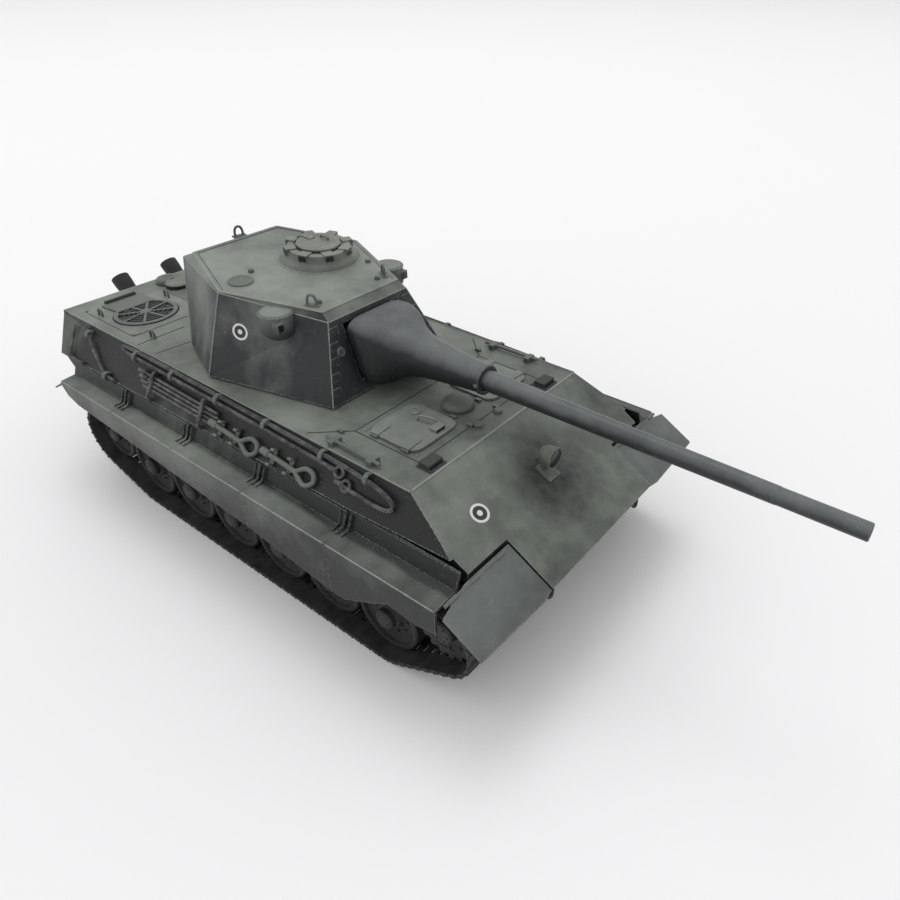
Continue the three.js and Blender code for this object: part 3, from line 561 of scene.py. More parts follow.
lead = rod(through([(184, 0, lamp_z - 2), (182, 0.5, lamp_z - 6),
                    (181, 1, 104), tuple(glacis(179, 1, 0.3))], 20), 0.7, 8,
           (1, 0.2, 0.1))
headlight = piece("headlight_shell", joined(shell, post, foot, *screws, lead),
                  fitting_paint, "hull", 0.15)
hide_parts("headlight")
lens = turned([(0, 4.0), (5.9, 4.1), (5.9, 4.5), (4.2, 5.0), (0, 5.4)], (189, 0, lamp_z), "x", 48)
piece("headlight_lens", lens, dark_glass, "hull")


# ---- Engine deck -------------------------------------------------------------------------
# Two round grilles over the fans, a filler cap, a small access lid with its hinge, lifting
# hooks and the louvred air inlets. The exhausts are dull black stubs.
soot, w, shader = new_finish("soot_black")
place = w.make("ShaderNodeTexCoord", out=3)
grime = w.noise(place, 240.0, 4.0, 0.6)
wire_up(w.tree, shader, Base_Color=w.mix(grime, (0.008, 0.008, 0.009, 1.0), (0.035, 0.033, 0.031, 1.0)),
        Roughness=0.55 + grime * 0.3, Normal=w.make("ShaderNodeBump", i0=0.3, i1=0.0004, i3=grime))
FAN = (-174.0, -45.5)
well = turned([(0, -0.6), (23.6, -0.6), (23.6, 1.0), (22.9, 1.5),
               (20.6, 1.5), (20.2, 0.9), (20.2, 0.1), (0, 0.1)],
              (*FAN, DECK_Z), steps=72)
rings = [turned([(r - 0.8, 0.0), (r, 1.3), (r + 0.8, 0.0), (r - 0.8, 0.0)], (*FAN, DECK_Z), steps=56)
         for r in (6.0, 9.4, 12.8, 16.2)]
spokes = [seated(block((2.5, -0.8, 0), (20.6, 0.8, 1.5)), (*FAN, DECK_Z),
                 (math.cos(a), math.sin(a), 0), (0, 0, 1))
          for a in np.arange(8) * math.pi / 4 + 0.2]
hub = turned([(0, 0), (4.2, 0), (4.2, 1.7), (3.2, 2.3), (0, 2.4)], (*FAN, DECK_Z), steps=32)
fan_grille = joined(well, *rings, *spokes, hub)
# The grille's paint turns dark below the top of the well: painted shade on the floor of the fan opening
# under the bars.
grille_paint = paint("grille_grey", (0.17, 0.186, 0.175), (0.02, 0.022, 0.022),
                     lambda w, x, y, z, upward, clouds: (1 - z.between(0.1176, 0.1186)) * 1.0)


def handed(shape):
    """A shape with the name of its side: as drawn for the right, and mirrored for the left."""
    return ("right", shape), ("left", mirrored(shape))


for side, shape in handed(fan_grille):
    made = piece(f"fan_grille_{side}_cast", shape, grille_paint, "hull")
    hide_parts(f"fan_grille_{side}")

cap = turned([(0, -0.3), (10.7, -0.3), (10.7, 2.6), (9.6, 4.2), (6.8, 4.8), (4, 4.8), (3.6, 4.2), (0, 4.2)],
             (-216, 0, DECK_Z), steps=48)
lid = plate([(-211, -62), (-189, -60), (-189, -29), (-211, -29)], DECK_Z - 0.2, DECK_Z + 1.8)
hooks = [rod(through([(x, y, DECK_Z - 0.5), (x, y, DECK_Z + 4),
                      (x + 2.5, y, DECK_Z + 6), (x + 5, y, DECK_Z + 4),
                      (x + 5, y, DECK_Z - 0.5)], 24), 0.9, 8, (0, 1, 0.1))
         for x, y in ((-199, -70), (-191, -19), (-199, 70), (-191, 19), (-132, -66), (-132, 66))]
louvres = [seated(block((-14, -1.1, -0.3), (14, 1.1, 0.9)), (x, 0, DECK_Z), (0, 1, 0), (0.35, 0, 1))
           for x in np.arange(-207, -146, 4.2) if abs(x + 216) > 13]
piece("engine_deck_fittings", joined(cap, both_sides(lid), *hooks, *louvres),
      fitting_paint, "hull", 0.2)
hinge = rod([(-212, -58, DECK_Z + 1.8), (-212, -33, DECK_Z + 1.8)], 2.0, 14)
piece("engine_lid_hinges", both_sides(hinge), soot, "hull", 0.15)
cover_seam = [(-143, -73.5, DECK_Z), (-213.6, -73.5, DECK_Z), (-213.6, 73.5, DECK_Z), (-143, 73.5, DECK_Z),
              (-143, -73.5, DECK_Z)]
piece("engine_cover_seam", strip(cover_seam, 1.0, 0.16), groove_paint, "hull")

stub = through([(-216, -22.5, 90), (-227, -22.5, 92.5), (-240, -22.5, 104.5), (-254.4, -22.5, 118.9)], 28)
radii = np.concatenate([np.full(20, 6.6), np.linspace(6.6, 7.3, 5), [7.4, 7.4, 7.4]])
outer = rod(stub, radii, 28, (0, 1, 0.01))
mouth_centre, mouth_way = stub[-1], unit(stub[-1] - stub[-3])
inner = seated(turned([(7.4, -0.1), (7.4, 0.4), (5.4, 0.4), (5.2, -0.05), (7.4, -0.1)], steps=28),
               mouth_centre, (0, 1, 0), mouth_way)
# A thin near-black disc across the exhaust mouth: painted shadow of the pipe's inside.
throat_shadow = seated(turned([(0, 0.02), (5.3, 0.02), (5.3, 0.12), (0, 0.12)], steps=28),
                mouth_centre, (0, 1, 0), mouth_way)
band = rod(stub[11:14], 7.3, 28, (0, 1, 0.01))
for side, shape in handed(joined(outer, inner, band)):
    made = piece(f"exhaust_{side}_stub", shape, soot, "hull", 0.2)
    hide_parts(f"exhaust_{side}")
# Near-black paint for the discs in the exhaust mouths and the gun's bore: painted shadow of the hollows.
void, w, shader = new_finish("painted_bore_shadow")
dark = w.noise(w.make("ShaderNodeTexCoord", out=3), 300.0)
wire_up(w.tree, shader, Base_Color=w.mix(dark, (0.002, 0.002, 0.002, 1.0), (0.006, 0.006, 0.006, 1.0)),
        Roughness=0.7 + dark * 0.2)
piece("exhaust_mouth_shadows", both_sides(throat_shadow), void, "hull")


# ---- Fittings on the hull sides ----------------------------------------------------------
# A tow rope of twisted strands lies along each side in spring clips, with bare eyes at its
# ends. Behind it hang a rack of cleaning rods, two tow links and a pair of shorter ropes.
CABLE = [(104, 0.56), (117, 0.6), (130, 0.63), (141, 0.62), (146, 0.52),
         (143, 0.38), (133, 0.27), (118, 0.2),
         (98, 0.16), (60, 0.13), (4, 0.1), (-48, 0.08), (-98, 0.07),
         (-128, 0.08), (-138, 0.13), (-128, 0.2),
         (-98, 0.22), (-48, 0.24), (4, 0.26), (60, 0.3), (96, 0.33)]
rope_steel, w, shader = new_finish("rope_grey")
place = w.make("ShaderNodeTexCoord", out=3)
grime = w.noise(place, 140.0, 5.0, 0.65)
fine = w.noise(place, 1500.0, 2.0, 0.5)
colour = w.mix(grime.between(0.35, 0.7), (0.02, 0.022, 0.022, 1.0), (0.11, 0.118, 0.11, 1.0))
wire_up(w.tree, shader, Base_Color=w.mix(fine.between(0.55, 0.75) * 0.5, colour, (0.3, 0.3, 0.28, 1.0)),
        Roughness=0.45 + grime * 0.25, Normal=w.make("ShaderNodeBump", i0=0.2, i1=0.0003, i3=fine))


def twisted(points, radius, strands=4, pitch=7.0, lift=1.7, step=1.1):
    """A laid rope: strands on a small circle round the path, turning once in each pitch."""
    rough = through([side_at(x, t, lift) for x, t in points], 400)
    path = along(rough, step)
    gaps = np.linalg.norm(np.diff(path, axis=0), axis=1)
    path = path[np.concatenate([[True], gaps > 0.25])]
    way = np.concatenate([[0], np.cumsum(np.linalg.norm(np.diff(path, axis=0), axis=1))])
    tangent = unit(np.gradient(path, axis=0))
    normal = unit(np.asarray(SIDE_UP) - (tangent @ SIDE_UP)[:, None] * tangent)
    across = np.cross(tangent, normal)
    shapes = []
    for strand in range(strands):
        angle = 2 * math.pi * (way / pitch + strand / strands)
        centre = path + 0.52 * radius * (np.cos(angle)[:, None] * across + np.sin(angle)[:, None] * normal)
        shapes.append(rod(centre, 0.5 * radius, 5, SIDE_UP))
    return joined(*shapes)


def eye(x, t, size=3.4, lift=1.7):
    """A forged ring at a rope's end with a short ferrule."""
    angle = np.arange(24) * math.pi / 12
    ring = np.array([side_at(x + size * math.cos(a), t + size * 0.036 * math.sin(a), lift) for a in angle])
    return joined(rod(ring, 1.05, 8, SIDE_UP, closed=True),
                  rod([side_at(x - size - 5, t, lift), side_at(x - size + 0.5, t, lift)], 1.6, 10, SIDE_UP))


rope = joined(twisted(CABLE, 1.45), eye(109, 0.545), eye(101, 0.335))
short_rope = twisted([(-190, 0.1), (-176, 0.35), (-160, 0.7), (-148, 0.9), (-128, 0.97), (-109, 0.93)], 1.3)
low_rope = twisted([(-204, 0.2), (-205, 0.6), (-196, 0.92), (-170, 0.96), (-150, 0.95)], 1.3)
for side, shape in handed(rope):
    made = piece(f"tow_rope_{side}", shape, rope_steel, "hull")
    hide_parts(f"tow_cable_{side}")
piece("short_ropes", both_sides(short_rope, low_rope), rope_steel, "hull")


def clip(x, t, wide=5.0, tall=0.1):
    """A spring clip: a bent strap over the rope with a wing nut."""
    path = through([side_at(x, t - tall, -0.2), side_at(x, t - tall * 0.7, 3.0),
                    side_at(x, t + tall * 0.7, 3.0),
                    side_at(x, t + tall, -0.2)], 14)
    return joined(rod(path, 0.9, 6, (1, 0.01, 0.01), flat=wide / 2.4 / 0.9),
                  seated(turned([(0, 0), (1.5, 0), (1.5, 1.2), (0, 1.4)], steps=10),
                         side_at(x, t, 3.2), (1, 0, 0), SIDE_UP))


clips = [clip(x, 0.17, 4.0, 0.13) for x in (-118, -72, -20, 30, 84, 122)]
clips += [clip(-182, 0.24), clip(-140, 0.95)]
rods = [rod([side_at(-108 + 4 * k, t, 1.6), side_at(-14 + 2 * k, t + 0.06, 1.6)], 1.1, 10, SIDE_UP)
        for k, t in enumerate((0.42, 0.52, 0.62, 0.72))]
tips = [rod([side_at(-108 + 4 * k, t, 1.6), side_at(-99 + 4 * k, t, 1.6)], 1.5, 10, SIDE_UP)
        for k, t in enumerate((0.42, 0.52, 0.62, 0.72))]
posts = [rod(through([side_at(x, 0.32, -0.3), side_at(x, 0.34, 3.4),
                      side_at(x + 2, 0.6, 3.6), side_at(x + 4, 0.92, 3.4),
                      side_at(x + 4, 0.96, -0.3)], 20), 1.3, 8, (1, 0.01, 0.02)) for x in (-89, -30)]
rack = joined(*rods, *tips, *posts)
for side, shape in handed(rack):
    made = piece(f"tool_rack_{side}_rods", shape, rope_steel, "hull")
    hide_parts(f"tool_rack_{side}")


def tow_link(x):
    """A tow link: a forged bar that opens into a triangular loop."""
    bar = rod([side_at(x, 0.72, 2.0), side_at(x + 32, 0.8, 2.0)], 1.7, 10, SIDE_UP)
    head = rod([side_at(x - 2, 0.715, 2.0), side_at(x + 5, 0.73, 2.0)], 2.5, 10, SIDE_UP)
    corners = [(30, 0.8), (38, 0.62), (45, 0.66), (46.5, 0.84), (40, 0.98), (30, 0.8)]
    loop = rod(through([side_at(x + dx, t, 2.0) for dx, t in corners], 30)[:-1],
               1.6, 8, SIDE_UP, closed=True)
    holders = [block((-1.6, -5.5, -0.3), (1.6, 5.5, 1.0)), block((-1.6, -5.5, 0), (1.6, -3.9, 4.2)),
               block((-1.6, 3.9, 0), (1.6, 5.5, 4.2))]
    base = [seated(shape, side_at(x + dx, 0.76, 0), (1, 0, 0), SIDE_UP)
            for dx in (8, 24) for shape in holders]
    return joined(bar, head, loop, *base)


piece("tow_links", both_sides(tow_link(-15), tow_link(38)), fitting_paint, "hull", 0.15)
piece("rope_clips", both_sides(*clips), fitting_paint, "hull")


# ---- Turret shell ------------------------------------------------------------------------
# Flat plates with beads along every corner, stepped plate ends at the front corners, a round
# hatch in the rear plate, lifting loops and small roof fittings. The airbrush darkens the sides.
TURRET_MARK = (-18.2, -64.6, 154.7)
turret_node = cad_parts["turret_shell"]


def on_turret(x, y, z):
    """The nearest point of the turret's skin, in drawing millimetres, and its outward way."""
    point = Vector(spot(x, y, z))
    where, way = turret_node.closest_point_on_mesh(point)[1:3]
    return np.array(where) * 1000 - (DATUM * 1000, 0, 0), np.array(way)


mark_right = on_turret(*TURRET_MARK)[0]


def turret_shade(w, x, y, z, upward, clouds):
    """Dark from the foot up and towards the front, with a pale band left on each side plate."""
    wall = 1 - upward.between(0.55, 0.9)
    climb = (1 - z.between(0.122, 0.172)) * 0.16
    ahead = x.between(DATUM - 0.01, DATUM + 0.04) * 0.3
    behind = (1 - x.between(DATUM - 0.075, DATUM - 0.05)) * 0.12
    mist = 1 - w.sum("ABSOLUTE", x - (DATUM - 0.034)).between(0.004, 0.026)
    return wall * (climb + ahead - behind + mist * 0.26 + 0.22) - clouds * 0.05


turret_paint = paint("field_grey_turret", (0.262, 0.288, 0.252), (0.02, 0.0225, 0.026), turret_shade,
                     roundels=[(spot(*mark_right), 0.0058), (spot(*(mark_right * (1, -1, 1))), 0.0058)])
dress(turret_paint, "turret_shell")
ROOF_SLOPE = 0.0687
ROOF_UP = unit((ROOF_SLOPE, 0, 1))
FOOT = [(56, 52.6), (-43.6, 75.6), (-93, 56.6)]
SHOULDER = [(40.5, 34.6), (-34.6, 60), (-107, 38.5)]
ROOF = [(34.7, 33.2), (-34.3, 59.3), (-97.8, 35.8)]


def roof_z(x):
    """Height of the turret roof, which falls towards the gun at a fixed slope."""
    return 173.8 - ROOF_SLOPE * (x - 34.7)


def roof_at(x, y, lift=0.0):
    """A point on the turret roof, or lifted square off it."""
    return np.array([x, y, roof_z(x)]) + lift * ROOF_UP


def ring_of(corners, height, scale=1.0):
    """One turret outline: the right half from front to rear, then the left half back."""
    half = [(RING_X + (x - RING_X) * scale, -y * scale, height(x)) for x, y in corners]
    return half + [(x, -y, z) for x, y, z in half[::-1]]


def shoulder_z(x):
    """Height of the shoulder edge, which drops lower at the front and rear corners."""
    return roof_z(x) - (4.8 if abs(x + 35) > 60 else 0.9)


def outward(p):
    """The way out of the turret at a point of its outline, a little upward."""
    return unit((p[0] - RING_X, p[1], 0.3))


feet = ring_of(FOOT, lambda x: DECK_Z + 2.1)
shoulders = ring_of(SHOULDER, shoulder_z)
roof_ring = ring_of(ROOF, roof_z)
corner_beads = [bead([a, b], 0.6, np.cross(unit(np.subtract(b, a)), outward(a)))
                for a, b in zip(feet, shoulders)]
shoulder_beads = [bead([a, b], 0.45, outward(np.add(a, b) / 2))
                  for a, b in zip(shoulders, shoulders[1:] + shoulders[:1])]
roof_beads = [bead([a, b], 0.65, ROOF_UP) for a, b in zip(roof_ring, roof_ring[1:] + roof_ring[:1])]
piece("turret_weld_beads", joined(*corner_beads, *shoulder_beads, *roof_beads),
      rubbed_paint, "turret")


def down(rail, t):
    """A point part of the way down a corner of the turret, from the shoulder to the foot."""
    top_point, low_point = np.array(shoulders[rail]), np.array(feet[rail])
    return top_point + (low_point - top_point) * t


steps = []
for rail in (0, 5):
    inward = np.array([0, 1.0 if rail == 0 else -1.0, 0])
    for t in (0.12, 0.3, 0.48, 0.66, 0.84):
        front, way = on_turret(*(down(rail, t) + inward * 4 + (1, 0, 0)))
        tooth = plate([(-3.4, -2.6), (3.4, -2.6), (3.4, 2.6), (-3.4, 2.6)], -0.4, 0.45)
        steps.append(seated(tooth, front, (0, 1, 0), way))
piece("turret_plate_joints", joined(*steps), turret_paint, "turret", 0.2)

roof_inset = ring_of(ROOF, lambda x: roof_z(x) + 0.02, 0.955)
piece("roof_plate_groove", strip(roof_inset + roof_inset[:1], 0.45, 0.1, ROOF_UP),
      groove_paint, "turret")


def lifting_loop(x, y, turn):
    """A bent lifting loop on a small pad."""
    c, s = math.cos(turn), math.sin(turn)
    base = roof_at(x, y)
    path = [(-2.8, -0.5), (-3.0, 3.4), (-2.0, 6.4), (0, 7.4), (2.0, 6.4), (3.0, 3.4), (2.8, -0.5)]
    loop = rod(through([base + (c * a, s * a, b) for a, b in path], 26), 0.95, 8, (-s, c, 0.1))
    pad = seated(plate([(-5, -2), (5, -2), (5, 2), (-5, 2)], -0.3, 0.7), base, (c, s, 0), ROOF_UP)
    return joined(loop, pad)


nub = [(0, -0.3), (2.0, -0.3), (2.0, 1.2), (1.4, 2.3), (0, 2.6)]
nubs = [seated(turned(nub, steps=20), roof_at(x, y), (1, 0, 0), ROOF_UP)
        for x, y in ((23.5, -26.4), (-0.4, 39), (-44.1, -27.6), (24.5, 24))]
vent_disc = seated(turned([(0, -0.3), (8.4, -0.3), (8.4, 0.7),
                           (7.8, 1.1), (6.4, 1.1), (6.0, 0.7), (0, 0.8)], steps=44),
                   roof_at(-37, -41), (1, 0, 0), ROOF_UP)
sights = []
for sign in (-1, 1):
    where, way = on_turret(50, sign * 33, 150)
    sights.append(seated(turned([(0, -0.5), (3.4, -0.5), (3.4, 0.6), (2.6, 1.3),
                                 (2.2, 1.3), (2.0, 0.6), (0, 0.6)], steps=28), where, (0, 1, 0), way))
rear_port, rear_way = on_turret(-101, 0, 148)
rear_hatch = seated(turned([(0, -0.5), (13.5, -0.5), (13.5, 1.6), (12.6, 2.4), (0, 2.9)], steps=56),
                    rear_port, (0, 1, 0), rear_way)
rear_hinges = [seated(rod([(-15, y - 4, 1.8), (-15, y + 4, 1.8)], 1.6, 12),
                      rear_port, (0, 1, 0), rear_way) for y in (-5, 5)]
rear_handle = seated(rod(through([(-3, 0, 2.4), (-3, 0, 5), (3, 0, 5), (3, 0, 2.4)], 20),
                         0.8, 8, (0, 1, 0)), rear_port, (0, 1, 0), rear_way)
loops = joined(lifting_loop(-101, 4.5, 1.4), lifting_loop(23, -31.5, 0.5), lifting_loop(23, 31.5, -0.5))
piece("turret_fittings", joined(loops, *nubs, vent_disc, *sights, rear_hatch, *rear_hinges, rear_handle),
      fitting_paint, "turret", 0.12)


# ---- Cupola ------------------------------------------------------------------------------
# A cast ring with eight hooded periscopes and a round lid on a rear hinge. A weld bead runs
# round its foot on the sloping roof.
CUPOLA = np.array([-31.0, 21.0])
CUPOLA_FOOT = roof_at(*CUPOLA)
HIGH = 10.0


def on_cupola(shape):
    """A shape drawn about the cupola's axis, set on the sloping roof."""
    return seated(shape, CUPOLA_FOOT, (1, 0, 0), ROOF_UP)


# The cupola is darker on faces that don't look up: painted shade on its sides.
cupola_paint = paint("field_grey_cupola", (0.262, 0.288, 0.245), (0.045, 0.05, 0.046),
                     lambda w, x, y, z, upward, clouds: (1 - upward.between(0.3, 0.8)) * 0.35)
cone = turned([(14.7, HIGH - 1.2), (14.7, -1.5), (27.2, -1.5),
               (28.4, 0.2), (28.2, 0.8), (25.4, 3.4), (23.4, 6.4), (22.6, HIGH - 1.8),
               (21.8, HIGH - 0.4), (20.6, HIGH), (17.6, HIGH),
               (17.0, HIGH - 0.5), (15.9, HIGH - 0.5), (14.7, HIGH - 1.2)], steps=80)
hoods, panes = [], []
for k in range(8):
    a = math.radians(45 * k + 22.5)
    frame_way = (math.cos(a), math.sin(a), 0)
    hood = plate([(16.6, -3.9), (24.2, -3.3), (24.2, 3.3), (16.6, 3.9)], HIGH - 4.6, HIGH + 1.0)
    hoods.append(seated(hood, (0, 0, 0), frame_way, (0, 0, 1)))
    panes.append(seated(block((24.1, -2.5, HIGH - 3.4), (24.5, 2.5, HIGH - 0.2)),
                        (0, 0, 0), frame_way, (0, 0, 1)))
made = piece("cupola_casting", on_cupola(joined(cone, *hoods)), cupola_paint, "turret", 0.3)
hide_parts("cupola")
piece("cupola_periscopes", on_cupola(joined(*panes)), dark_glass, "turret")
bead_ring = np.array([(28.5 * math.cos(a), 28.5 * math.sin(a), 0.1) for a in np.arange(180) * math.pi / 90])
ripple = 0.62 * (1 + 0.15 * np.sin(np.arange(180) * 2.1))
weld = rod(bead_ring, ripple, 6, (0, 0, 1), closed=True)
piece("cupola_weld_bead", on_cupola(weld), rubbed_paint, "turret")
lid = turned([(0, HIGH - 1.5), (14.0, HIGH - 1.5), (14.0, HIGH + 0.4),
              (15.6, HIGH + 0.4), (15.6, HIGH + 1.4), (15.0, HIGH + 2.0),
              (11.5, HIGH + 2.3), (11.0, HIGH + 1.9), (0, HIGH + 2.3)], steps=72)
lid_bar = rod(through([(-3.5, 6, HIGH + 1.8), (-3.5, 6, HIGH + 3.8),
                       (3.5, 6, HIGH + 3.8), (3.5, 6, HIGH + 1.8)], 20), 0.75, 8, (0, 1, 0))
lid_strap = plate([(-15.5, -3.0), (-6, -2.2), (-6, 2.2), (-15.5, 3.0)], HIGH + 1.5, HIGH + 2.9)
made = piece("cupola_lid", on_cupola(joined(lid, lid_bar, lid_strap)), cupola_paint,
             "commander_lid", 0.15)
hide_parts("cupola_hatch")
hinge = rod([(-16.4, -4.5, HIGH + 1.2), (-16.4, 4.5, HIGH + 1.2)], 1.25, 14)
piece("cupola_hinge", on_cupola(hinge), fitting_paint, "turret", 0.1)


# ---- Rangefinder heads -------------------------------------------------------------------
# A cast drum with a rounded bottom stands half out of each side plate under the roof. Its
# eye looks forward out of a square mask.
def drum_shade(w, x, y, z, upward, clouds):
    """Darker towards the foot of the drum, and painted shade on faces that don't look up."""
    return (1 - z.between(0.153, 0.173)) * 0.5 + (1 - upward.between(0.5, 0.9)) * 0.15


drum_paint = paint("field_grey_drums", (0.25, 0.275, 0.245), (0.034, 0.038, 0.038), drum_shade)
half = np.linspace(0, math.pi / 2, 12)
bowl = [(10.9 * math.sin(a), -12.0 - 8.6 * math.cos(a)) for a in half]
drum = turned(bowl + [(11.0, -6), (11.0, -2.2), (10.7, -1.2), (9.8, -0.4), (0, 0)],
              (8.5, -49, roof_z(8.5) - 1.6), steps=56)
mask = block((15.5, -57.6, roof_z(8.5) - 12.6), (19.7, -52.2, roof_z(8.5) - 6.4))
rim = turned([(10.9, -0.9), (11.5, -1.2), (11.5, -2.6), (10.9, -2.9), (10.9, -0.9)],
             (8.5, -49, roof_z(8.5) - 1.6), steps=56)
eye_pane = block((19.75, -56.7, roof_z(8.5) - 11.6), (20.05, -53.1, roof_z(8.5) - 7.4))
for side, turn in (("right", lambda s: s), ("left", mirrored)):
    made = piece(f"rangefinder_{side}_drum", turn(joined(drum, mask, rim)),
                 drum_paint, "turret", 0.3)
    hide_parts(f"rangefinder_{side}")
    piece(f"rangefinder_{side}_eye", turn(eye_pane), dark_glass, "turret")


# ---- Gun mantlet -------------------------------------------------------------------------
# One casting: a squared shield that draws in to a round sleeve with a clamping collar. The
# casting skin is coarse, and painted shade leaves it dark underneath and on its sides, over an even
# airbrush.
GUN_Z = 146.2


def mantlet_shade(w, x, y, z, upward, clouds):
    """Painted shade on every face but those along the top of the casting, over an even airbrush."""
    # Painted shade: faces that don't look up go dark.
    underside_shade = 1 - upward.between(-0.3, 0.85)
    return underside_shade * 0.95 + 0.16 - clouds * 0.1


mantlet_paint = paint("field_grey_mantlet", (0.155, 0.168, 0.172),
                      (0.008, 0.010, 0.011), mantlet_shade, grain=0.3)
STATIONS = np.array([  # x, half width, up, down, squareness, lean
    (51.8, 26.6, 20.6, 21.6, 1.0, 0.33), (53.2, 27.0, 21.0, 22.0, 1.0, 0.32),
    (59.6, 27.5, 21.0, 22.5, 0.9, 0.26),
    (67.0, 25.0, 20.0, 21.0, 0.6, 0.18), (74.0, 20.5, 17.5, 18.5, 0.3, 0.1),
    (82.0, 16.8, 15.6, 16.4, 0.1, 0.02),
    (94.0, 14.0, 13.8, 14.0, 0.0, 0.0), (118.0, 11.2, 11.2, 11.2, 0.0, 0.0),
    (137.5, 9.4, 9.4, 9.4, 0.0, 0.0)])


def smooth_stations(rows):
    """Stations between the given ones, each column on a smooth curve through its values."""
    return np.column_stack([through(np.column_stack([STATIONS[:, 0], STATIONS[:, k], STATIONS[:, k]]),
                                    rows)[:, 1]
                            for k in range(1, 6)])


rows = 66
station_x = through(np.column_stack([STATIONS[:, 0]] * 3), rows)[:, 0]
half_y, rise, fall, square, lean = smooth_stations(rows).T
angle = np.arange(96) * 2 * math.pi / 96
power = 2 / (2 + 3.2 * np.clip(square, 0, 1))
c = np.sign(np.cos(angle)) * np.abs(np.cos(angle)) ** power[:, None]
s = np.sign(np.sin(angle)) * np.abs(np.sin(angle)) ** power[:, None]
up = np.where(s > 0, rise[:, None], fall[:, None]) * s
body = np.stack([station_x[:, None] - lean[:, None] * up, half_y[:, None] * c, GUN_Z + up], axis=-1)
closing = np.stack([body[0, :, 0], body[0, :, 1] * 0.5, GUN_Z + (body[0, :, 2] - GUN_Z) * 0.5],
                   axis=-1)[None]
closing[..., 0] = 52.0 - 0.33 * (closing[..., 2] - GUN_Z)
collar = [(139.0, 9.9), (141.4, 9.9), (142.0, 9.2), (142.0, 7.3), (120.0, 7.2)]
collar_rings = np.stack([np.stack([np.full(96, x), r * np.cos(angle), GUN_Z + r * np.sin(angle)],
                                  axis=-1) for x, r in
                         [(138.0, 9.3)] + collar])
grid = np.concatenate([closing, body, collar_rings])
count = len(grid)
i, k = np.meshgrid(np.arange(count - 1), np.arange(96), indexing="ij")
m = (k + 1) % 96
skin = np.stack([i * 96 + k, i * 96 + m, (i + 1) * 96 + m, (i + 1) * 96 + k], axis=-1).reshape(-1, 4)
caps = [tuple(range(95, -1, -1)), tuple((count - 1) * 96 + q for q in range(96))]
shield = (grid.reshape(-1, 3), [tuple(face) for face in skin] + caps)
neck = block((20, -21, GUN_Z - 14), (56, 21, GUN_Z + 10))
made = piece("mantlet_casting", joined(shield, neck), mantlet_paint, "gun_mount", sharp=40)
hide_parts("mantlet")
pins = [turned([(0, 8.0), (1.3, 8.0), (1.3, 10.4), (0, 10.6)], (140.2, 0, GUN_Z), "y", 12),
        turned([(0, -10.6), (1.3, -10.4), (1.3, -8.0), (0, -8.0)], (140.2, 0, GUN_Z), "y", 12)]
piece("sleeve_pins", joined(*pins), fitting_paint, "gun_mount")


# ---- Gun barrel --------------------------------------------------------------------------
# A turned tube in two steps, bored at the muzzle. It slides back in the sleeve on recoil.
# Its paint is smoother than that of the castings.
def barrel_shade(w, x, y, z, upward, clouds):
    """Painted shade underneath, and paler towards the muzzle."""
    # Painted shade: faces that look down go dark.
    underside_shade = 1 - upward.between(-0.5, 0.8)
    tip = x.between(DATUM + 0.3, DATUM + 0.372)
    return underside_shade * 0.55 + 0.3 - tip * 0.3 - clouds * 0.1


barrel_paint = paint("gun_grey", (0.17, 0.186, 0.184), (0.018, 0.021, 0.023),
                     barrel_shade, gloss=0.42, grain=0.06)
MUZZLE_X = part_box("barrel")[1][0] * 1000 - DATUM * 1000
tube = [(0, 8.2), (6.7, 8.2), (6.7, 150), (6.62, 151), (6.45, 160),
        (5.75, 238), (5.6, 240), (5.55, 243), (5.2, 300), (5.05, 327.2),
        (4.85, 327.8), (4.85, MUZZLE_X - 0.5), (4.4, MUZZLE_X),
        (3.05, MUZZLE_X), (2.9, MUZZLE_X - 0.4), (2.9, MUZZLE_X - 30),
        (0, MUZZLE_X - 30)]
breech = block((-13.5, -8.8, GUN_Z - 8.8), (8.4, 8.8, GUN_Z + 8.8))
made = piece("barrel_tube", joined(turned(tube, (0, 0, GUN_Z), "x", 64), breech),
             barrel_paint, "gun_barrel", sharp=25)
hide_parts("barrel")
# A near-black disc down the bore: painted shadow inside the barrel.
plug = turned([(0, MUZZLE_X - 24), (2.85, MUZZLE_X - 24), (2.85, MUZZLE_X - 23), (0, MUZZLE_X - 23)],
              (0, 0, GUN_Z), "x", 32)
piece("bore_shadow", plug, void, "gun_barrel")


# ---- Road wheels, sprockets and idlers ---------------------------------------------------
# Moulded twin-disc wheels with a rubber tread, a dished web, bolts round the web and a hub
# cap. The track's guide teeth run in the slot between the discs.
def wheel_shade(w, x, y, z, upward, clouds):
    """Darker towards the ground."""
    return 0.2 + (1 - z.between(0.004, 0.03)) * 0.35


wheel_paint = paint("wheel_grey", (0.042, 0.046, 0.043), (0.011, 0.012, 0.011),
                    wheel_shade, gloss=0.6, wear=0.35)
WHEEL_Y = 87.5


def bolts_round(count, radius, size, low, high, turn=0.0):
    """Bolt heads on a circle, standing on the outer face of a wheel at the origin."""
    return [turned([(0, low), (size, low), (size, high - 0.3), (size * 0.8, high), (0, high)],
                   (radius * math.cos(a), 0, radius * math.sin(a)), "y", 6)
            for a in turn + np.arange(count) * 2 * math.pi / count]


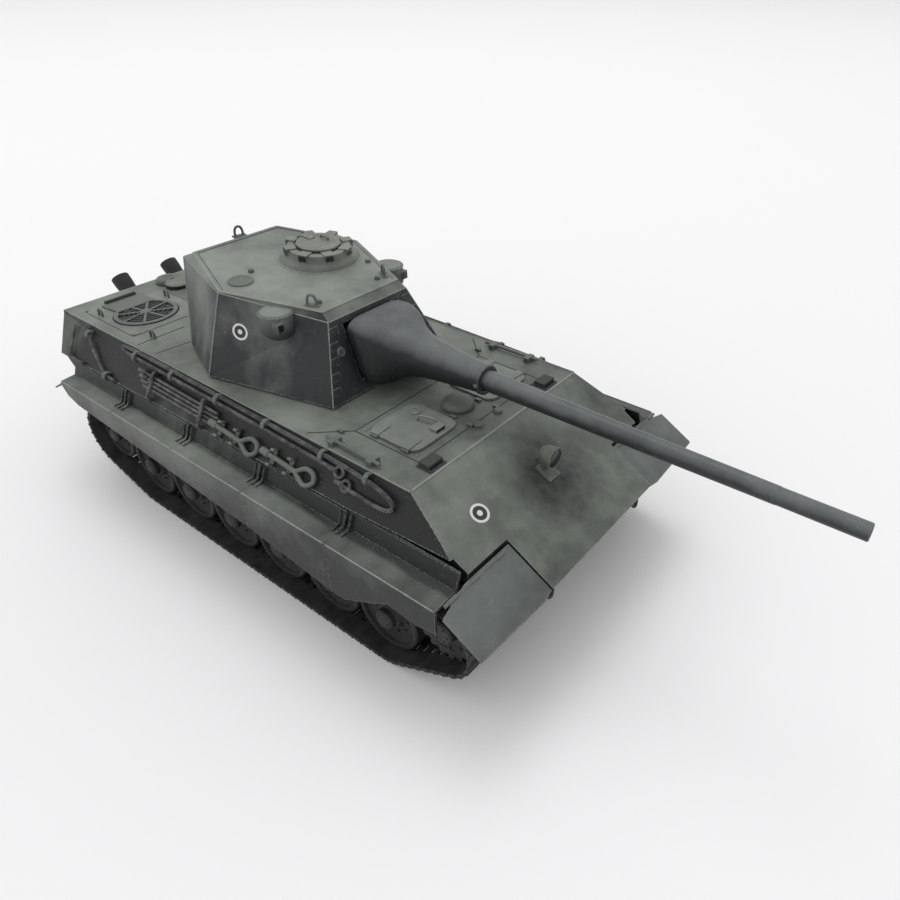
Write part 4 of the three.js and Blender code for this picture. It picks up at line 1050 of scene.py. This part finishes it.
def disc_pair(radius, hub):
    """The profile of one disc, swept round, and its twin; the web is dished on the outside."""
    out = [(0, 4.4), (radius * 0.5, 4.4), (radius * 0.7, 4.0),
           (radius - 0.9, 4.0), (radius, 4.9), (radius, 15.1), (radius - 0.9, 16),
           (radius - 3.0, 16), (radius - 3.4, 15.2), (radius - 3.7, 13.4),
           (radius - 6.5, 12.3), (hub + 3.4, 11.4), (hub + 2.6, 12.2),
           (hub + 1.6, 14.6), (hub, 15.0), (hub, 18.2), (hub - 1.2, 19.6), (hub - 3, 20), (0, 20)]
    disc = turned(out, axis="y", steps=56)
    parts = joined(disc, *bolts_round(10, hub + 6.2, 0.95, 11.4, 13.0),
                   *bolts_round(6, hub - 2.6, 0.6, 19.4, 20.4))
    return joined(parts, mirrored(parts),
                  turned([(0, -4.5), (radius * 0.45, -4.5), (radius * 0.45, 4.5), (0, 4.5)],
                         axis="y", steps=40))


def set_at(shape, x, y, z):
    """A shape moved from the origin to a place."""
    return shape[0] + (x, y, z), shape[1]


road_wheel = disc_pair(24.4, 7.0)
for k in range(6):
    for side, sign in (("right", -1), ("left", 1)):
        low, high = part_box(f"wheel_{side}_{k + 1}")
        x, z = ((low[0] + high[0]) / 2 - DATUM) * 1000, (low[2] + high[2]) * 500
        made = piece(f"road_wheel_{side}_{k + 1}_discs", set_at(road_wheel, x, sign * WHEEL_Y, z),
                     wheel_paint,
                     f"road_wheel_{side}_{k + 1}", sharp=30)
        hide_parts(f"wheel_{side}_{k + 1}")


def toothed_ring(radius, teeth, low, high, hole):
    """A ring whose edge rises and falls as a cosine of the angle, flattened at the tips."""
    angle = np.arange(teeth * 10) * 2 * math.pi / (teeth * 10)
    wave = np.clip(np.cos(angle * teeth) * 1.6, -1, 1)
    edge = radius - 1.5 + 1.5 * wave
    outer_ring = [np.stack([edge * np.cos(angle), np.full(len(angle), y), edge * np.sin(angle)], axis=1)
                  for y in (low, high)]
    inner_ring = [np.stack([hole * np.cos(angle), np.full(len(angle), y), hole * np.sin(angle)], axis=1)
                  for y in (high, low)]
    points = np.concatenate(outer_ring + inner_ring)
    n = len(angle)
    i, k = np.meshgrid(np.arange(4), np.arange(n), indexing="ij")
    m, j = (k + 1) % n, (i + 1) % 4
    faces = np.stack([i * n + k, i * n + m, j * n + m, j * n + k], axis=-1).reshape(-1, 4)
    return points, [tuple(face) for face in faces]


sprocket = joined(
    *[toothed_ring(22.4, 18, low, low + 3.2, 15.5) for low in (-15.8, -7.6, 4.4, 12.6)],
    turned([(0, -15.0), (16.2, -15.0), (16.2, -13.6), (13, -11),
            (13, 11), (16.2, 13.6), (16.2, 15.0), (14.5, 15.4), (12.6, 13.0), (9.5, 12.6),
            (8.5, 13.4), (8, 18.5), (6.8, 19.8), (0, 20)], axis="y", steps=56),
    *bolts_round(9, 14.2, 0.8, 14.6, 16.2), *bolts_round(6, 5.2, 0.6, 19.4, 20.4),
)
idler = disc_pair(21.0, 6.0)
for name, body, shape in (("sprocket", "drive", sprocket), ("idler", "tail_wheel", idler)):
    for side, sign in (("right", -1), ("left", 1)):
        low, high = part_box(f"{name}_{side}")
        x, z = ((low[0] + high[0]) / 2 - DATUM) * 1000, (low[2] + high[2]) * 500
        turn = (lambda s: s) if sign > 0 else mirrored
        made = piece(f"{name}_{side}_casting", set_at(turn(shape), x, sign * WHEEL_Y, z),
                     wheel_paint, f"{body}_{side}",
                     sharp=30)
        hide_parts(f"{name}_{side}")

FIRST_WHEEL, WHEEL_STEP, AXLE_Z = 144, 50.4, 29
axle = [rod([(FIRST_WHEEL - WHEEL_STEP * k, -WHEEL_Y + 21.4, AXLE_Z),
             (FIRST_WHEEL - WHEEL_STEP * k, -57.6, AXLE_Z)], 3.2, 16, (0, 0.01, 1))
        for k in range(6)]
arms = [rod([(FIRST_WHEEL - WHEEL_STEP * k, -60.8, AXLE_Z),
             (FIRST_WHEEL - WHEEL_STEP * k - 17, -60.8, 42)], 3.6, 12, (0, 1, 0))
        for k in range(6)]
idler_axle = rod([(-155, -WHEEL_Y + 21.4, 39.5), (-155, -57.6, 39.5)], 3.6, 16, (0, 0.01, 1))
piece("suspension_arms", both_sides(*axle, *arms, idler_axle), wheel_paint, "hull", 0.2)


# ---- Tracks ------------------------------------------------------------------------------
# Black moulded links on steel pins. Each has two windows for the sprocket teeth, a cross
# bar that bites the ground, pads at its ends and a guide tooth on the inside.
track_black, w, shader = new_finish("track_black")
place = w.make("ShaderNodeTexCoord", out=3)
face = w.make("ShaderNodeNewGeometry", out=1)
grime = w.noise(place, 90.0, 5.0, 0.65)
fine = w.noise(place, 1300.0, 3.0, 0.6)
colour = w.mix(grime.between(0.3, 0.75), (0.010, 0.010, 0.011, 1.0), (0.034, 0.033, 0.031, 1.0))
soft = w.make("ShaderNodeBevel", {"samples": 2}, i0=0.0006)
turn = w.make("ShaderNodeVectorMath", {"operation": "DOT_PRODUCT"}, out=1, i0=soft, i1=face)
worn = (1 - turn).between(0.02, 0.2) * fine.between(0.35, 0.6) * 0.6
wire_up(w.tree, shader, Base_Color=w.mix(worn, colour, (0.15, 0.15, 0.145, 1.0)),
        Roughness=0.5 + grime * 0.3,
        Normal=w.make("ShaderNodeBump", i0=0.25, i1=0.0003, i3=fine))


def wheel_place(name):
    """The x and z of a wheel and its radius, in drawing millimetres."""
    low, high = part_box(name)
    return ((low[0] + high[0]) / 2 - DATUM) * 1000, (low[2] + high[2]) * 500, (high[2] - low[2]) * 500


rounds = np.array([wheel_place(name)
                   for name in ("sprocket_right", "idler_right", "wheel_right_1", "wheel_right_6")])
angle = np.arange(1440) * 2 * math.pi / 1440
reach = rounds[:, 0, None] * np.cos(angle) + rounds[:, 1, None] * np.sin(angle) + rounds[:, 2, None]
outer_round = rounds[np.argmax(reach, axis=0)]
MIDDLE = 2.45
loop_x = outer_round[:, 0] + (outer_round[:, 2] + MIDDLE) * np.cos(angle)
loop_z = outer_round[:, 1] + (outer_round[:, 2] + MIDDLE) * np.sin(angle)
loop = np.stack([np.append(loop_x, loop_x[0]), np.append(loop_z, loop_z[0])], axis=1)
way = np.concatenate([[0], np.cumsum(np.linalg.norm(np.diff(loop, axis=0), axis=1))])
links = int(round(way[-1] / 7.9))
pitch = way[-1] / links
marks = (np.arange(links) + 0.5) * pitch


def loop_at(distance):
    """Points at distances along the middle line of the track."""
    distance = np.mod(distance, way[-1])
    return np.stack([np.interp(distance, way, loop[:, 0]), np.interp(distance, way, loop[:, 1])], axis=1)


centre = (loop_at(marks - pitch / 2) + loop_at(marks + pitch / 2)) / 2
heading = unit(loop_at(marks + pitch / 2) - loop_at(marks - pitch / 2))
outward_way = np.stack([heading[:, 1], -heading[:, 0]], axis=1)

bars = [block((1.9, -24.6, -1.0), (3.3, 24.6, 0.9)), block((-3.3, -24.6, -1.0), (-1.9, 24.6, 0.9))]
webs = [block((-2.0, a, -1.0), (2.0, b, 0.8)) for a, b in ((-24.6, -12.2), (-6.2, 6.2), (12.2, 24.6))]
cleat = plate([(-1.0, -24.6), (1.0, -24.6), (1.0, 24.6), (-1.0, 24.6)], 0.7, 2.1)
pads = [block((-2.8, a, 0.7), (2.8, b, 1.5)) for a, b in ((-24.6, -17.5), (17.5, 24.6))]
tooth = (np.array([(-2.2, -1.9, -0.9), (2.2, -1.9, -0.9), (2.2, 1.9, -0.9), (-2.2, 1.9, -0.9),
                   (-0.9, -1.2, -6.2), (0.9, -1.2, -6.2), (0.9, 1.2, -6.2), (-0.9, 1.2, -6.2)], float),
         [(0, 1, 2, 3), (7, 6, 5, 4), (0, 4, 5, 1), (1, 5, 6, 2), (2, 6, 7, 3), (3, 7, 4, 0)])
pin_bar = rod([(pitch / 2, -25.3, 0), (pitch / 2, 25.3, 0)], 1.15, 6, (0, 0, 1))
link_points, link_faces = joined(*bars, *webs, cleat, *pads, tooth, pin_bar)
placed = (centre[:, None] + link_points[None, :, 0, None] * heading[:, None]
          + link_points[None, :, 2, None] * outward_way[:, None])
chain_x, chain_z = placed[..., 0].ravel(), placed[..., 1].ravel()
chain_y = np.tile(link_points[:, 1], links) - WHEEL_Y
chain = (np.stack([chain_x, chain_y, np.maximum(chain_z, 0.0)], axis=1),
         [tuple(k + link * len(link_points) for k in face) for link in range(links) for face in link_faces])
for side, shape in handed(chain):
    made = piece(f"track_{side}_links", shape, track_black, "hull")
    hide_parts(f"track_{side}")


# ---- Nose and tail fittings --------------------------------------------------------------
# Small shackles hang from lugs at the nose. The rear plate carries two round access
# covers with six bolts each, and a small lamp on its right.
def shackle(x, y, z):
    """A bow shackle and its pin in a lug, hanging in front of a plate."""
    bow = through([(x, y - 3.2, z), (x + 1.5, y - 3.6, z - 3),
                   (x + 2.5, y, z - 6.5), (x + 1.5, y + 3.6, z - 3),
                   (x, y + 3.2, z)], 26)
    pin = rod([(x, y - 6.6, z), (x, y + 6.6, z)], 1.3, 12)
    lug = block((x - 6, y - 2.2, z - 3.4), (x + 2, y + 2.2, z + 3.4))
    return joined(rod(bow, 1.35, 8, (0.2, 0.1, 1)), pin, lug)


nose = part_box("upper_hull")[1][0] * 1000 - DATUM * 1000
shackles = both_sides(shackle(nose - 9.5, -50, 60))
piece("nose_shackles", shackles, soot, "hull", 0.15)
BACK_X = (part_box("upper_hull")[0][0] - DATUM) * 1000


def on_back(y, z):
    """The rear plate's skin straight ahead of a place behind it, and its outward way."""
    start = Vector(spot(BACK_X - 30, y, z))
    where, way_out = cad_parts["upper_hull"].ray_cast(start, Vector((1, 0, 0)))[1:3]
    return np.array(where) * 1000 - (DATUM * 1000, 0, 0), np.array(way_out)


back_parts = []
cover_profile = [(0, -0.4), (8.5, -0.4), (8.5, 1.0), (7.9, 1.6), (6.4, 1.6), (6.0, 1.2), (0, 1.4)]
for y, z in ((-50, 99), (50, 99)):
    where, way_out = on_back(y, z)
    back_parts.append(seated(turned(cover_profile, steps=48), where, (0, 1, 0), way_out))
    for a in np.arange(6) * math.pi / 3:
        offset = seated((np.array([(7.2 * math.cos(a), 7.2 * math.sin(a), 0)]), []),
                        where, (0, 1, 0), way_out)[0][0]
        back_parts.append(seated(turned([(0, 1.3), (0.7, 1.3), (0.7, 2.1), (0, 2.2)], steps=8),
                                 offset, (0, 1, 0), way_out))
where, way_out = on_back(-86, 100)
back_parts.append(seated(turned([(0, -0.4), (2.8, -0.4), (2.8, 4.2), (2.2, 5), (0, 5)], steps=24),
                         where, (0, 1, 0), way_out))
piece("rear_plate_covers", joined(*back_parts), fitting_paint, "hull", 0.12)


# ---- Working parts inside ----------------------------------------------------------------
# The battery in blue wrap, a green circuit board, black gear cases, the speaker, the slip
# ring under the turret and the switch: seen only through the gaps and from below.
def moulded(name, dull, bright, gloss):
    """Plain moulded material with a fine mottle and a light grain."""
    material, w, shader = new_finish(name)
    place = w.make("ShaderNodeTexCoord", out=3)
    mottle = w.noise(place, 60.0, 4.0, 0.6)
    grain = w.noise(place, 1800.0, 2.0, 0.5)
    wire_up(w.tree, shader, Base_Color=w.mix(mottle, (*dull, 1.0), (*bright, 1.0)),
            Roughness=gloss + mottle * 0.2,
            Normal=w.make("ShaderNodeBump", i0=0.15, i1=0.0003, i3=grain))
    return material


dress(moulded("black_moulding", (0.012, 0.012, 0.013), (0.03, 0.03, 0.031), 0.4),
      "gearbox_right", "gearbox_left", "speaker",
      "power_switch", "turret_ring")
dress(moulded("battery_wrap", (0.012, 0.04, 0.14), (0.03, 0.08, 0.24), 0.25), "battery_pack")
dress(moulded("board_green", (0.01, 0.06, 0.025), (0.02, 0.11, 0.04), 0.35), "control_board")


# ---- Floor, light and camera -------------------------------------------------------------
# A seamless pale table under a large soft light overhead and a weaker one from the left.
# The camera stands ahead and to the right of the part and looks down at it.
floor_finish, w, shader = new_finish("pale_table")
place = w.make("ShaderNodeTexCoord", out=3)
wire_up(w.tree, shader, Base_Color=w.mix(w.noise(place, 1.5), (0.94, 0.94, 0.95, 1.0),
                                         (0.95, 0.95, 0.96, 1.0)), Roughness=0.85)
mesh = bpy.data.meshes.new("table")
wide = 40.0
mesh.from_pydata([(-wide, -wide, 0), (wide, -wide, 0), (wide, wide, 0), (-wide, wide, 0)],
                 [], [(0, 1, 2, 3)])
mesh.materials.append(floor_finish)
table = bpy.data.objects.new("table", mesh)
bpy.context.scene.collection.objects.link(table)

world = bpy.data.worlds.new("studio")
world.use_nodes = True
world.node_tree.nodes["Background"].inputs[0].default_value = (1.0, 1.0, 1.0, 1.0)
world.node_tree.nodes["Background"].inputs[1].default_value = 0.8
bpy.context.scene.world = world


def soft_box(name, place, target, size, power):
    """A square area light that faces a point."""
    light = bpy.data.lights.new(name, "AREA")
    light.size = size
    light.energy = power
    lamp_object = bpy.data.objects.new(name, light)
    way_down = Vector(target) - Vector(place)
    facing = way_down.to_track_quat("-Z", "Y").to_matrix().to_4x4()
    lamp_object.matrix_world = Matrix.Translation(place) @ facing
    bpy.context.scene.collection.objects.link(lamp_object)


soft_box("overhead", (-1.6, 1.4, 6.0), (0, 0, 0.05), 3.4, 82)
soft_box("left_fill", (-3.2, -2.6, 2.4), (0, 0, 0.05), 2.4, 8)

azimuth, elevation, roll = map(math.radians, (34.74604612, 32.92063772, 1.18305794))
back = Vector((math.sin(azimuth) * math.cos(elevation), -math.cos(azimuth) * math.cos(elevation),
               math.sin(elevation)))
level = Vector((math.cos(azimuth), math.sin(azimuth), 0))
rising = back.cross(level)
right = math.cos(roll) * level + math.sin(roll) * rising
upright = back.cross(right)
lens_data = bpy.data.cameras.new("camera")
lens_data.sensor_width = 36
lens_data.lens = 29.299
lens_data.shift_x = -0.10503
lens_data.shift_y = -0.04800
camera = bpy.data.objects.new("camera", lens_data)
stance = Matrix((right, upright, back)).transposed().to_4x4()
stance.translation = Vector(spot(392.294, -298.868, 378.948))
camera.matrix_world = stance
bpy.context.scene.collection.objects.link(camera)
bpy.context.scene.camera = camera
bpy.context.scene.view_settings.view_transform = "Standard"
